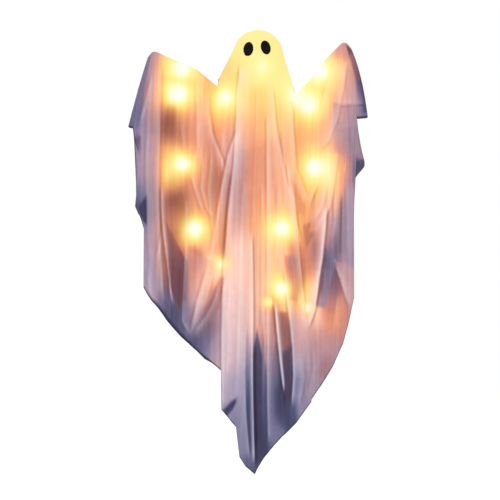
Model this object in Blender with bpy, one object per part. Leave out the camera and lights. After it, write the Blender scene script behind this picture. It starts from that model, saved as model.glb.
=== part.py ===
"""Hanging ghost decoration: a lit globe head and two bent wire arms under three gauze drapes.

Lengths are in metres, +Z is up and the ghost faces -Y. Shapes are written from the crown of
the head, and the parent empty then puts the hook's contact point at the world's origin.
"""

import math

import bmesh
import bpy
from mathutils import Matrix, Vector
from mathutils.bvhtree import BVHTree

# Clearances and whole sizes
GAP = 0.0003
OVERRUN = 0.004
MERGE = 0.00001
GHOST_HEIGHT = 1.205
DRAPE_THICKNESS = 0.0014

# Globe head
GLOBE_RADIUS = 0.066
GLOBE_WALL = 0.0018
NECK_RADIUS = 0.020
GLOBE_SEGMENTS = 24
GLOBE_RINGS = 10
DOME_RINGS = 5
SIDE_LINES = 3
PANEL_LINES = 17
LINES_ROUND = 2 * (PANEL_LINES + SIDE_LINES)
CHORD_SHARE = math.cos(math.pi / (4 * DOME_RINGS)) * math.cos(math.pi / LINES_ROUND)
DOME_RADIUS = (GLOBE_RADIUS + GAP) / CHORD_SHARE
GLOBE_Z = -(DOME_RADIUS + DRAPE_THICKNESS)
NECK_Z = GLOBE_Z - math.sqrt(GLOBE_RADIUS**2 - NECK_RADIUS**2)

# Felt eyes, as seen from the front
EYE_HALF_WIDTH = 0.0132
EYE_HALF_HEIGHT = 0.0192
EYE_THICKNESS = 0.0012
EYE_GLUE = 0.0009
EYE_RINGS = 3
EYE_SEGMENTS = 20
LEFT_EYE_X = -0.0267
LEFT_EYE_RISE = 0.0110
LEFT_EYE_TILT = math.radians(5)
RIGHT_EYE_X = 0.0209
RIGHT_EYE_RISE = 0.0143
RIGHT_EYE_TILT = math.radians(-12)

# Screw eye that the ghost hangs from, behind the crown
HANGER_LEAN = math.radians(45)
HANGER_LOOP_RADIUS = 0.00675
HANGER_WIRE_RADIUS = 0.00125
HANGER_RISE = 0.0148
HANGER_STANDOFF = GLOBE_RADIUS + HANGER_RISE
BOSS_RADIUS = 0.004
BOSS_DEPTH = 0.011

# Spine, collar and shoulder hub
SPINE_RADIUS = 0.0025
SPINE_PLUG = 0.0496
SPINE_TOP_Z = NECK_Z + SPINE_PLUG
SPINE_BOTTOM_Z = -0.405
COLLAR_FLANGE_RADIUS = 0.025
COLLAR_FLANGE_THICKNESS = 0.004
COLLAR_PLUG_HEIGHT = 0.008
COLLAR_NECK_LENGTH = 0.014
COLLAR_NECK_RADIUS = 0.008
PIVOT_X = 0.035
HUB_TOP_Z = -0.263
HUB_HEIGHT = 0.026
HUB_DEPTH = 0.022
HUB_END = 0.010
HUB_BEVEL = 0.003
SOCKET_FLOOR = 0.003
SCREW_RADIUS = 0.0015
SCREW_HEAD_RADIUS = 0.003
SCREW_HEAD_HEIGHT = 0.002

# Bent wire arms
ARM_WIRE_RADIUS = 0.002
UPPER_ARM = 0.168
HAND_REACH = 0.1144
HAND_LOOP_RADIUS = 0.012
HAND_NECK_SHARE = 1.7
HAND_OPENING = math.radians(35)
ARM_BEND_RADIUS = 0.008
HAND_TAIL = 0.016
FERRULE_LENGTH = 0.010
FERRULE_WALL = 0.0009
LEFT_SHOULDER_Z = -0.224
LEFT_UPPER_RISE = math.radians(40)
LEFT_FORE_RISE = math.radians(19)
RIGHT_SHOULDER_Z = -0.2524
RIGHT_UPPER_RISE = math.radians(45.2)
RIGHT_FORE_RISE = math.radians(45.2)

# Body drape: a dome over the globe, then a front and a back panel
FLARE_ROWS = 2
PANEL_ROWS = 9
PANEL_EDGE_ANGLE = math.radians(60)
LEFT_PANEL_WIDTH = 0.098
RIGHT_PANEL_WIDTH = 0.096
RIGHT_HEM_WIDTH = 0.142
SPREAD_START_SHARE = 0.3
SPREAD_RUN_SHARE = 0.55
LEFT_SIDE_BULGE = 0.022
RIGHT_SIDE_BULGE = 0.009
RIM_DEPTH = 0.094
LOW_DEPTH = 0.108
TAIL_DEPTH = 0.060
DEEPEN_START_SHARE = 0.13
DEEPEN_RUN_SHARE = 0.5
TAIL_START_SHARE = 0.72
LEAVE_SHARE = 0.85
EDGE_TUCK_SHARE = 0.17
LAP_GAP = 0.004
LAP_SWEEP = math.radians(36)
BODY_FOLD = 0.0085
BODY_FOLDS = 4
BODY_FOLD_RUN = 0.28
BODY_MAIN_FOLD_SHARE = 0.7
FRONT_HEM_SHARES = (
    (-1.0, 0.850), (-0.74, 0.877), (-0.6, 0.889), (-0.51, 0.956), (-0.34, 0.979),
    (-0.09, 0.995), (0.0, 0.979), (0.1, 0.960), (0.2, 0.946), (0.45, 0.911), (0.72, 0.880),
    (1.0, 0.832),
)
BACK_HEM_SHARES = (
    (-1.0, 0.78), (-0.5, 0.86), (-0.1, 0.94), (0.3, 0.90), (0.7, 0.84), (1.0, 0.80),
)

# Arm drapes: folded over the arm wire and round the hand loop
WING_INNER_X = 0.090
WING_TUCK = 0.015
WING_ROWS = 12
WING_LINES = 15
TIP_LINES = 7
WING_TOP_DEPTH = 0.009
WING_TOP_DROP = 0.006
WING_INNER_DEPTH = 0.024
WING_OUTER_DEPTH = 0.040
WING_SPREAD_RUN = 0.090
WING_DRIFT = 0.020
WING_DRIFT_RUN = 0.20
WING_FOLD = 0.0055
WING_FOLDS = 3
WING_ROW_EASE = 1.25
TIP_START_SHARE = 0.6
TIP_FIRST_REACH = 0.016
TIP_FIRST_DROP = 0.014
LEFT_TIP_REACH = 0.0576
RIGHT_TIP_REACH = 0.0435
LEFT_TIP_STRAIGHT_SHARE = 1.0
RIGHT_TIP_STRAIGHT_SHARE = 0.3
TIP_SLOPE_FALL = 0.19
LEFT_FLAP_STEP_SHARE = 0.20
RIGHT_FLAP_STEP_SHARE = 0.30
FLAP_START_SHARE = 0.28
FLAP_RUN_SHARE = 0.10
LEFT_FRONT_HEM_SHARES = (
    (0.0, 0.785), (0.25, 0.743), (0.42, 0.718), (0.58, 0.690), (0.75, 0.655), (0.92, 0.611),
    (1.0, 0.58),
)
LEFT_BACK_HEM_SHARES = (
    (0.0, 0.775), (0.3, 0.745), (0.5, 0.705), (0.75, 0.650), (0.92, 0.609), (1.0, 0.58),
)
RIGHT_FRONT_HEM_SHARES = (
    (0.0, 0.880), (0.17, 0.866), (0.33, 0.838), (0.5, 0.800), (0.67, 0.757), (0.83, 0.706),
    (0.92, 0.656), (1.0, 0.602),
)
RIGHT_BACK_HEM_SHARES = (
    (0.0, 0.83), (0.3, 0.80), (0.6, 0.715), (0.8, 0.66), (1.0, 0.602),
)
LEFT_TIP_HEM_SHARES = (
    (0.0, 0.216), (0.28, 0.222), (0.36, 0.395), (0.6, 0.43), (0.75, 0.555), (1.0, 0.58),
)
RIGHT_TIP_HEM_SHARES = (
    (0.0, 0.195), (0.3, 0.2), (0.45, 0.3), (0.75, 0.335), (0.9, 0.37), (1.0, 0.602),
)

# Light string
WIRE_RADIUS = 0.0009
HOLDER_RADIUS = 0.0031
HOLDER_LENGTH = 0.013
LENS_RADIUS = 0.0025
LENS_LENGTH = 0.008
LIGHT_CHAMFER = 0.0006
LIGHT_SEGMENTS = 8
SPLITTER_WIDTH = 0.014
SPLITTER_DEPTH = 0.008
SPLITTER_HEIGHT = 0.010
SPLITTER_TOP_Z = -0.252
SPLITTER_EXIT = 0.004
LINK_TOP_RISE = 0.010
LINK_END_RISE = 0.007
LINK_BEND_SHARE = 0.35
TIE_WIDTH = 0.0035
TIE_WALL = 0.0009
TIE_HEAD = 0.0045

# Battery box for three cells
CELL_RADIUS = 0.00715
CELL_LENGTH = 0.0492
CELL_NUB = 0.0013
CELL_NUB_RADIUS = 0.0027
CELL_CLEARANCE = 0.0006
CASE_WALL = 0.0018
CASE_BACK_Y = 0.0270
BAY_SPARE = 0.0062
SWITCH_BAY = 0.012
CASE_TOP_Z = -0.3350
COVER_THICKNESS = 0.0016
COVER_GROOVE = 0.0010
COVER_TRAVEL = 0.062
GRIP_RIBS = 4
GRIP_RIB = 0.0012
GRIP_PITCH = 0.003
GRIP_WIDTH = 0.020
SPRING_WIRE = 0.0004
SPRING_TURNS = 3
SPRING_POINTS = 8
SPRING_RADIUS = 0.0032
CONTACT_THICKNESS = 0.0005
BOARD_THICKNESS = 0.0016
SWITCH_WIDTH = 0.0085
SWITCH_HEIGHT = 0.004
SWITCH_BODY_DEPTH = 0.004
KNOB_WIDTH = 0.004
KNOB_HEIGHT = 0.0028
KNOB_STAND = 0.0018
SWITCH_TRAVEL = 0.004
CLIP_WALL = 0.0015
CLIP_HEIGHT = 0.024
CLIP_WIDTH = 0.020
CLIP_MOUTH_SHARE = 1.2

# Routes of the light wires, from the crown, with the points that carry a light
LEFT_WIRE_ROUTE = (
    (-0.035, 0.0, -0.2083), (-0.035, 0.0, -0.2105), (-0.0378, -0.0022, -0.2142),
    (-0.0455, -0.0046, -0.2130), (-0.062, -0.0036, -0.2072), (-0.087, 0.0, -0.1855),
    (-0.120, 0.0, -0.1578), (-0.158, 0.0, -0.1262), (-0.180, 0.0, -0.1160),
    (-0.190, -0.0020, -0.1220), (-0.198, -0.0050, -0.1420), (-0.201, -0.0060, -0.1740),
    (-0.196, -0.0070, -0.2600), (-0.185, -0.0080, -0.3600), (-0.173, -0.0080, -0.4500),
    (-0.156, -0.0075, -0.5400), (-0.140, -0.0060, -0.5900), (-0.121, -0.0050, -0.6200),
)
LEFT_LIGHT_POINTS = (5, 9, 11, 13, 15, 17)
LEFT_TIE_POINTS = (4, 6)
LEFT_LIGHT_AIMS = (
    (0.0, 0.0, -1.0), (-1.0, 0.0, 0.2), (-1.0, 0.0, 0.0), (-1.0, -0.2, 0.0),
    (-1.0, -0.2, 0.0), (0.75, 0.0, -0.66),
)
RIGHT_WIRE_ROUTE = (
    (0.035, 0.0, -0.2360), (0.035, 0.0, -0.2382), (0.0378, -0.0022, -0.2418),
    (0.0455, -0.0048, -0.2405), (0.060, -0.0036, -0.2335), (0.098, 0.0, -0.1948),
    (0.130, 0.0, -0.1626), (0.160, 0.0, -0.1323), (0.182, 0.0, -0.1100),
    (0.189, -0.0020, -0.1160), (0.182, -0.0050, -0.1460), (0.165, -0.0060, -0.1810),
    (0.153, -0.0070, -0.2070), (0.153, -0.0075, -0.2800), (0.166, -0.0080, -0.3750),
    (0.165, -0.0080, -0.4800), (0.157, -0.0080, -0.6000), (0.145, -0.0080, -0.7000),
    (0.137, -0.0080, -0.7500),
)
RIGHT_LIGHT_POINTS = (5, 7, 12, 14, 18)
RIGHT_TIE_POINTS = (4, 6)
RIGHT_LIGHT_AIMS = (
    (0.0, 0.0, -1.0), (0.0, 0.0, -1.0), (-1.0, 0.0, 0.0), (-1.0, 0.0, 0.0),
    (-0.1, -0.1, -1.0),
)
CENTRE_WIRE_ROUTE = (
    (0.004, 0.0153, -0.2623), (0.004, 0.0153, -0.2750), (0.006, 0.0145, -0.2950),
    (0.018, -0.0020, -0.3300), (0.034, -0.0250, -0.3900), (0.048, -0.0440, -0.4600),
    (0.058, -0.0560, -0.5400), (0.060, -0.0600, -0.6200), (0.058, -0.0600, -0.7000),
    (0.048, -0.0600, -0.7330), (0.034, -0.0600, -0.7420),
)
CENTRE_LIGHT_POINTS = (6, 8, 10)
CENTRE_LIGHT_AIMS = ((0.6, -0.6, 0.0), (0.6, -0.6, 0.0), (-1.0, 0.0, 0.1))
HEAD_WIRE_Y = 0.0040
HEAD_WIRE_RISES = (-0.0334, -0.0044, 0.0186, 0.0416, 0.0556)
HEAD_WIRE_ROUTE = (
    (0.0, 0.0153, -0.2517), (0.0, 0.0148, -0.2420), (0.0, 0.0090, -0.2200),
    (0.0, 0.0042, -0.1950), *((0.0, HEAD_WIRE_Y, NECK_Z + rise) for rise in HEAD_WIRE_RISES),
)
HEAD_LIGHT_POINTS = (6, 8)
HEAD_LIGHT_AIMS = ((1.0, 0.25, 0.2), (0.0, 0.0, 1.0))
SPINE_TIE_POINT = 4
LEAD_WIRE_ROUTE = (
    (-0.004, 0.0165, -0.3347), (-0.004, 0.0165, -0.3250), (-0.0042, 0.0160, -0.3000),
    (-0.004, 0.0153, -0.2760), (-0.004, 0.0153, -0.2623),
)
ROUTE_STEP = 0.016

# Finishes
GAUZE = ("gauze", (0.86, 0.80, 0.84), 0.9, 0.0)
FROSTED = ("frosted_globe", (0.97, 0.93, 0.72), 0.45, 0.0)
FELT = ("black_felt", (0.012, 0.012, 0.014), 0.95, 0.0)
ZINC = ("zinc_wire", (0.62, 0.62, 0.63), 0.35, 1.0)
BLACK_PLASTIC = ("black_plastic", (0.03, 0.03, 0.032), 0.45, 0.0)
WHITE_PLASTIC = ("white_plastic", (0.82, 0.82, 0.80), 0.4, 0.0)
CLEAR_WIRE = ("wire_sleeve", (0.05, 0.06, 0.055), 0.5, 0.0)
LAMP = ("warm_lamp", (1.0, 0.78, 0.42), 0.2, 0.0)
CELL_SKIN = ("cell_wrap", (0.16, 0.17, 0.19), 0.35, 0.4)
SPRING_STEEL = ("spring_steel", (0.7, 0.69, 0.66), 0.3, 1.0)
BOARD_GREEN = ("circuit_board", (0.05, 0.22, 0.10), 0.5, 0.0)


def clear_scene():
    for obj in list(bpy.data.objects):
        bpy.data.objects.remove(obj)


def finish_of(look):
    """The material of this look, made once."""
    name, colour, roughness, metallic = look
    found = bpy.data.materials.get(name)
    if found:
        return found
    made = bpy.data.materials.new(name)
    made.use_nodes = True
    shader = made.node_tree.nodes["Principled BSDF"]
    shader.inputs["Base Color"].default_value = (*colour, 1.0)
    shader.inputs["Roughness"].default_value = roughness
    shader.inputs["Metallic"].default_value = metallic
    return made


def pivot_empty(name, parent, place):
    """An empty at this place, measured from the crown, for the pieces that turn or slide together."""
    empty = bpy.data.objects.new(name, None)
    bpy.context.collection.objects.link(empty)
    empty.parent = parent
    empty.location = place
    return empty


def add_piece(name, data, look, carrier, smooth_angle=math.radians(35)):
    """An object of this data, drawn from the crown and carried by an empty."""
    obj = bpy.data.objects.new(name, data)
    bpy.context.collection.objects.link(obj)
    data.materials.append(finish_of(look))
    obj.parent = carrier
    if carrier.parent:
        obj.location = -carrier.location
    if isinstance(data, bpy.types.Mesh):
        data.shade_smooth()
        data.set_sharp_from_angle(angle=smooth_angle)
    return obj


def mesh_from(name, bm):
    data = bpy.data.meshes.new(name)
    bm.to_mesh(data)
    bm.free()
    return data


def cutter(name, bm, carrier):
    """A shape that Booleans use, kept out of the finished ghost."""
    obj = add_piece(name, mesh_from(name, bm), BLACK_PLASTIC, carrier)
    obj.hide_render = True
    obj.display_type = "WIRE"
    return obj


def boolean(obj, other, operation):
    step = obj.modifiers.new(other.name, "BOOLEAN")
    step.operation = operation
    step.object = other


def box_mesh(low, high):
    bm = bmesh.new()
    bmesh.ops.create_cube(bm, size=1)
    low, high = Vector(low), Vector(high)
    size = Matrix.Diagonal((*(high - low), 1))
    bm.transform(Matrix.Translation((low + high) / 2) @ size)
    return bm


def turned_mesh(profile, segments, place=(0, 0, 0), aim=(0, 0, 1)):
    """A profile of (radius, height) points turned about its axis, which points along aim."""
    bm = bmesh.new()
    rings = []
    for radius, height in profile:
        if radius:
            turn = 2 * math.pi / segments
            points = [
                (radius * math.cos(i * turn), radius * math.sin(i * turn), height)
                for i in range(segments)
            ]
            rings.append([bm.verts.new(point) for point in points])
        else:
            rings.append([bm.verts.new((0, 0, height))])
    for lower, upper in zip(rings, rings[1:]):
        for i in range(segments):
            j = (i + 1) % segments
            corners = [lower[i % len(lower)], lower[j % len(lower)]]
            corners += [upper[j % len(upper)], upper[i % len(upper)]]
            bm.faces.new(list(dict.fromkeys(corners)))
    if len(rings[0]) > 1 and len(rings[-1]) > 1:
        bm.faces.new(rings[0][::-1])
        bm.faces.new(rings[-1])
    turn_to = Vector((0, 0, 1)).rotation_difference(Vector(aim)).to_matrix().to_4x4()
    bm.transform(Matrix.Translation(place) @ turn_to)
    return bm


def rod_mesh(radius, start, end, segments=16, chamfer=0):
    """A round bar from start to end, with chamfered rims if asked."""
    start, end = Vector(start), Vector(end)
    length = (end - start).length
    if chamfer:
        profile = [(radius - chamfer, 0), (radius, chamfer), (radius, length - chamfer)]
        profile.append((radius - chamfer, length))
    else:
        profile = [(radius, 0), (radius, length)]
    return turned_mesh(profile, segments, start, end - start)


def tube(name, points, radius, look, carrier, sides=2):
    """A wire as a curve with filled ends."""
    curve = bpy.data.curves.new(name, "CURVE")
    curve.dimensions = "3D"
    curve.bevel_depth = radius
    curve.bevel_resolution = sides
    curve.use_fill_caps = True
    spline = curve.splines.new("POLY")
    spline.points.add(len(points) - 1)
    for slot, point in zip(spline.points, points):
        slot.co = (*point, 1)
    return add_piece(name, curve, look, carrier)


def smooth_route(route, step):
    """Points on a smooth curve that passes through every point of the route."""
    knots = [Vector(point) for point in route]
    knots = [2 * knots[0] - knots[1], *knots, 2 * knots[-1] - knots[-2]]
    points = []
    for a, b, c, d in zip(knots, knots[1:], knots[2:], knots[3:]):
        steps = max(1, round((c - b).length / step))
        for i in range(steps):
            t = i / steps
            bend = 2 * b + (c - a) * t + (2 * a - 5 * b + 4 * c - d) * t**2
            points.append((bend + (3 * b - a - 3 * c + d) * t**3) / 2)
    return [*points, knots[-2]]


def rounded(corners, radius, steps=5):
    """The line through these corners with each inner corner turned into an arc."""
    corners = [Vector(corner) for corner in corners]
    points = [corners[0]]
    for before, corner, after in zip(corners, corners[1:], corners[2:]):
        back, ahead = (before - corner).normalized(), (after - corner).normalized()
        half = back.angle(ahead) / 2
        if abs(half - math.pi / 2) < math.radians(1):
            points.append(corner)
            continue
        middle = corner + (back + ahead).normalized() * radius / math.sin(half)
        first = (corner + back * radius / math.tan(half) - middle).normalized()
        last = (corner + ahead * radius / math.tan(half) - middle).normalized()
        points += [middle + radius * first.slerp(last, i / steps) for i in range(steps + 1)]
    return [*points, corners[-1]]


def read_shares(table, place):
    """The value of a table of (place, value) at this place, eased between its rows."""
    for (a, low), (b, high) in zip(table, table[1:]):
        if place <= b:
            t = max(0.0, (place - a) / (b - a))
            return low + (high - low) * t
    return table[-1][1]


def ease(t):
    t = min(max(t, 0), 1)
    return t * t * (3 - 2 * t)


def mix(a, b, t):
    return a + (b - a) * t


# Arms, as numbers that the hub, the drapes and the wires share
def arm_of(side):
    """Side sign, shoulder height and the two rise angles of one arm."""
    if side < 0:
        return side, LEFT_SHOULDER_Z, LEFT_UPPER_RISE, LEFT_FORE_RISE
    return side, RIGHT_SHOULDER_Z, RIGHT_UPPER_RISE, RIGHT_FORE_RISE


def arm_corners(side):
    """Shoulder bend, elbow, wrist and hand loop centre, all in the plane y = 0."""
    side, shoulder_z, upper, fore = arm_of(side)
    shoulder = Vector((side * PIVOT_X, 0, shoulder_z))
    elbow = shoulder + UPPER_ARM * Vector((side * math.cos(upper), 0, math.sin(upper)))
    ahead = Vector((side * math.cos(fore), 0, math.sin(fore)))
    loop = elbow + HAND_REACH * ahead + wire_step(side) / 2
    return shoulder, elbow, loop - wire_step(side) / 2 - ahead * hand_neck(), loop


def wire_step(side):
    """The step from the forearm down to the wire's tail, which lies against it."""
    fore = arm_of(side)[3]
    return (2 * ARM_WIRE_RADIUS + GAP) * Vector((side * math.sin(fore), 0, -math.cos(fore)))


def hand_neck():
    """How far before the hand loop's centre the wire's tail meets the forearm."""
    return HAND_NECK_SHARE * HAND_LOOP_RADIUS


def arm_height(side, x):
    """Height of a taut line over the arm wire and its hand loop, at this distance from the
    ghost's middle."""
    shoulder, elbow, _, loop = arm_corners(side)
    across = abs(x)
    to_loop = loop - elbow
    rise = math.atan2(to_loop.z, abs(to_loop.x))
    rise += math.asin(HAND_LOOP_RADIUS / to_loop.length)
    contact = abs(loop.x) - HAND_LOOP_RADIUS * math.sin(rise)
    if across <= abs(elbow.x):
        share = (across - abs(shoulder.x)) / (abs(elbow.x) - abs(shoulder.x))
        return mix(shoulder.z, elbow.z, share)
    if across <= contact:
        return elbow.z + (across - abs(elbow.x)) * math.tan(rise)
    return loop.z + math.sqrt(HAND_LOOP_RADIUS**2 - (across - abs(loop.x)) ** 2)


def ridge_cover(side):
    """How far the drape's inner ridge lies above the arm wire's centre, so that the first fold
    down from it rests on the ties and the ferrule."""
    clear = ARM_WIRE_RADIUS + GAP + FERRULE_WALL + GAP
    upright = clear * math.hypot(WING_TOP_DEPTH, WING_TOP_DROP) / WING_TOP_DEPTH
    return upright / math.cos(arm_of(side)[2])


# Head
def add_globe(ghost):
    """Front and rear half shells, the rear one with the boss of the hanging eye."""
    outer, inner = GLOBE_RADIUS, GLOBE_RADIUS - GLOBE_WALL
    neck = math.asin(NECK_RADIUS / outer)
    profile = []
    for i in range(GLOBE_RINGS + 1):
        angle = neck + (math.pi - neck) * i / GLOBE_RINGS
        profile.append((outer * math.sin(angle), -outer * math.cos(angle)))
    for i in range(GLOBE_RINGS + 1):
        angle = math.pi + (neck - math.pi) * i / GLOBE_RINGS
        profile.append((inner * math.sin(angle), -inner * math.cos(angle)))
    profile[GLOBE_RINGS] = (0, outer)
    profile[GLOBE_RINGS + 1] = (0, inner)
    for name, face in (("globe_front_shell", -1), ("globe_rear_shell", 1)):
        bm = turned_mesh(profile[: GLOBE_RINGS + 1], GLOBE_SEGMENTS, (0, 0, GLOBE_Z))
        inside = turned_mesh(profile[GLOBE_RINGS + 1 :], GLOBE_SEGMENTS, (0, 0, GLOBE_Z))
        shell = join_shells(bm, inside)
        shell = add_piece(name, mesh_from(name, shell), FROSTED, ghost)
        if face > 0:
            add_boss(shell, ghost)
        reach = outer + OVERRUN
        low, high = sorted((-face * reach, face * GAP / 2))
        half = box_mesh((-reach, low, GLOBE_Z - reach), (reach, high, GLOBE_Z + reach))
        boolean(shell, cutter(name + "_half_space", half, ghost), "DIFFERENCE")


def join_shells(outside, inside):
    """One closed skin from an outer and an inner surface that are both open at the neck."""
    for bm in (outside, inside):
        bm.faces.ensure_lookup_table()
        flat = [f for f in bm.faces if len(f.verts) > 4]
        bmesh.ops.delete(bm, geom=flat, context="FACES_ONLY")
    scratch = mesh_from("inner_skin", inside)
    outside.from_mesh(scratch)
    bpy.data.meshes.remove(scratch)
    rims = [edge for edge in outside.edges if edge.is_boundary]
    bmesh.ops.bridge_loops(outside, edges=rims)
    bmesh.ops.recalc_face_normals(outside, faces=outside.faces)
    return outside


def hanger_aim():
    return Vector((0, math.sin(HANGER_LEAN), math.cos(HANGER_LEAN)))


def hanger_centre():
    return Vector((0, 0, GLOBE_Z)) + hanger_aim() * HANGER_STANDOFF


def hook_point():
    """Where a hook bears, at the inner top of the hanging eye."""
    inside = HANGER_LOOP_RADIUS - HANGER_WIRE_RADIUS
    return hanger_centre() + Vector((0, 0, inside))


def shank_ends():
    middle = Vector((0, 0, GLOBE_Z))
    foot = GLOBE_RADIUS - GLOBE_WALL - BOSS_DEPTH + CASE_WALL
    return middle + hanger_aim() * foot, hanger_centre() - hanger_aim() * HANGER_LOOP_RADIUS


def add_boss(shell, ghost):
    """A boss inside the rear shell, bored for the hanging eye's shank."""
    middle, aim = Vector((0, 0, GLOBE_Z)), hanger_aim()
    top = middle + aim * (GLOBE_RADIUS - GLOBE_WALL / 2)
    foot = middle + aim * (GLOBE_RADIUS - GLOBE_WALL - BOSS_DEPTH)
    boolean(shell, cutter("boss", rod_mesh(BOSS_RADIUS, foot, top), ghost), "UNION")
    start = shank_ends()[0] - aim * GAP
    bore = rod_mesh(HANGER_WIRE_RADIUS + GAP, start, middle + aim * HANGER_STANDOFF)
    boolean(shell, cutter("shank_bore", bore, ghost), "DIFFERENCE")


def add_hanging_eye(ghost):
    """A wire ring on a shank that goes through the drape into the rear shell's boss."""
    foot, neck = shank_ends()
    bm = rod_mesh(HANGER_WIRE_RADIUS, foot, neck, 12)
    eye = add_piece("hanging_eye", mesh_from("hanging_eye", bm), ZINC, ghost)
    ring = bmesh.new()
    turns, sides = 24, 8
    loops = []
    for i in range(turns):
        angle = 2 * math.pi * i / turns
        out = Vector((0, math.cos(angle), math.sin(angle)))
        loop = []
        for j in range(sides):
            turn = 2 * math.pi * j / sides
            across = HANGER_WIRE_RADIUS * math.sin(turn)
            reach = HANGER_LOOP_RADIUS + HANGER_WIRE_RADIUS * math.cos(turn)
            loop.append(ring.verts.new(hanger_centre() + out * reach + Vector((across, 0, 0))))
        loops.append(loop)
    for near, far in zip(loops, loops[1:] + loops[:1]):
        for a, b, c, d in zip(near, near[1:] + near[:1], far[1:] + far[:1], far):
            ring.faces.new((a, b, c, d))
    bmesh.ops.recalc_face_normals(ring, faces=ring.faces)
    boolean(eye, cutter("eye_ring", ring, ghost), "UNION")


def add_eyes(drape, ghost):
    """Two felt ovals glued on the outside of the drape, each point straight before the cloth."""
    bpy.context.view_layer.update()
    cloth = BVHTree.FromObject(drape, bpy.context.evaluated_depsgraph_get())
    places = (
        ("left_eye", LEFT_EYE_X, GLOBE_Z + LEFT_EYE_RISE, LEFT_EYE_TILT),
        ("right_eye", RIGHT_EYE_X, GLOBE_Z + RIGHT_EYE_RISE, RIGHT_EYE_TILT),
    )
    for name, x, z, tilt in places:
        bm = bmesh.new()

        def on_cloth(across, up):
            px = x + across * math.cos(tilt) + up * math.sin(tilt)
            pz = z - across * math.sin(tilt) + up * math.cos(tilt)
            met = cloth.ray_cast(Vector((px, -GHOST_HEIGHT, pz)), Vector((0, 1, 0)))[0]
            return bm.verts.new(met - Vector((0, EYE_GLUE, 0)))

        rings = [[on_cloth(0, 0)]]
        for k in range(EYE_RINGS):
            share = (k + 1) / EYE_RINGS
            turn = 2 * math.pi / EYE_SEGMENTS
            wide, tall = EYE_HALF_WIDTH * share, EYE_HALF_HEIGHT * share
            angles = [i * turn for i in range(EYE_SEGMENTS)]
            rings.append([on_cloth(wide * math.cos(a), tall * math.sin(a)) for a in angles])
        for inner, outer in zip(rings, rings[1:]):
            for i in range(EYE_SEGMENTS):
                j = (i + 1) % EYE_SEGMENTS
                corners = [inner[i % len(inner)], outer[i], outer[j], inner[j % len(inner)]]
                bm.faces.new(list(dict.fromkeys(corners)))
        eye = add_piece(name, mesh_from(name, bm), FELT, ghost)
        wall = eye.modifiers.new("felt", "SOLIDIFY")
        wall.thickness = EYE_THICKNESS
        wall.offset = 1


# Frame
def add_spine(ghost):
    ends = (0, 0, SPINE_BOTTOM_Z), (0, 0, SPINE_TOP_Z)
    bm = rod_mesh(SPINE_RADIUS, *ends, 16, LIGHT_CHAMFER)
    add_piece("spine_rod", mesh_from("spine_rod", bm), ZINC, ghost)


def add_collar(ghost):
    """The collar that plugs into the globe's neck and grips the spine."""
    top = NECK_Z - GAP
    plug = NECK_RADIUS - GLOBE_WALL - GAP
    profile = [
        (COLLAR_NECK_RADIUS, -COLLAR_FLANGE_THICKNESS - COLLAR_NECK_LENGTH),
        (COLLAR_NECK_RADIUS, -COLLAR_FLANGE_THICKNESS),
        (COLLAR_FLANGE_RADIUS, -COLLAR_FLANGE_THICKNESS),
        (COLLAR_FLANGE_RADIUS, 0),
        (plug, 0),
        (plug, COLLAR_PLUG_HEIGHT),
    ]
    bm = turned_mesh(profile, GLOBE_SEGMENTS, (0, 0, top))
    collar = add_piece("globe_collar", mesh_from("globe_collar", bm), WHITE_PLASTIC, ghost)
    low = top - COLLAR_FLANGE_THICKNESS - COLLAR_NECK_LENGTH - OVERRUN
    high = top + COLLAR_PLUG_HEIGHT + OVERRUN
    bore = rod_mesh(SPINE_RADIUS + GAP, (0, 0, low), (0, 0, high))
    boolean(collar, cutter("collar_bore", bore, ghost), "DIFFERENCE")
    foot, head = (0, HEAD_WIRE_Y, low), (0, HEAD_WIRE_Y, high)
    notch = rod_mesh(WIRE_RADIUS + GAP, foot, head, 10)
    boolean(collar, cutter("collar_wire_notch", notch, ghost), "DIFFERENCE")


def add_hub(ghost):
    """The moulded shoulder hub: a bore for the spine and a socket for each arm."""
    half = PIVOT_X + HUB_END
    low = (-half, -HUB_DEPTH / 2, HUB_TOP_Z - HUB_HEIGHT)
    high = (half, HUB_DEPTH / 2, HUB_TOP_Z)
    block = mesh_from("shoulder_hub", box_mesh(low, high))
    hub = add_piece("shoulder_hub", block, BLACK_PLASTIC, ghost)
    edge = hub.modifiers.new("edges", "BEVEL")
    edge.width = HUB_BEVEL
    edge.segments = 2
    top, floor = HUB_TOP_Z + OVERRUN, HUB_TOP_Z - HUB_HEIGHT + SOCKET_FLOOR
    bore = rod_mesh(SPINE_RADIUS + GAP, (0, 0, low[2] - OVERRUN), (0, 0, top))
    boolean(hub, cutter("hub_spine_bore", bore, ghost), "DIFFERENCE")
    for name, side in (("left", -1), ("right", 1)):
        socket = rod_mesh(
            ARM_WIRE_RADIUS + GAP, (side * PIVOT_X, 0, floor), (side * PIVOT_X, 0, top), 24
        )
        boolean(hub, cutter(name + "_socket", socket, ghost), "DIFFERENCE")
    middle = HUB_TOP_Z - HUB_HEIGHT / 2
    face = -HUB_DEPTH / 2
    hole = rod_mesh(SCREW_RADIUS + GAP, (0, face - OVERRUN, middle), (0, 0, middle), 12)
    boolean(hub, cutter("clamp_screw_hole", hole, ghost), "DIFFERENCE")
    tip = -(SPINE_RADIUS + GAP)
    inside_head = face - GAP - SCREW_HEAD_HEIGHT / 2
    screw = rod_mesh(SCREW_RADIUS, (0, tip, middle), (0, inside_head, middle), 12)
    screw = add_piece("clamp_screw", mesh_from("clamp_screw", screw), ZINC, ghost)
    head = rod_mesh(
        SCREW_HEAD_RADIUS,
        (0, face - GAP - SCREW_HEAD_HEIGHT, middle),
        (0, face - GAP, middle),
        16,
        LIGHT_CHAMFER,
    )
    boolean(screw, cutter("clamp_screw_head", head, ghost), "UNION")


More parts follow.
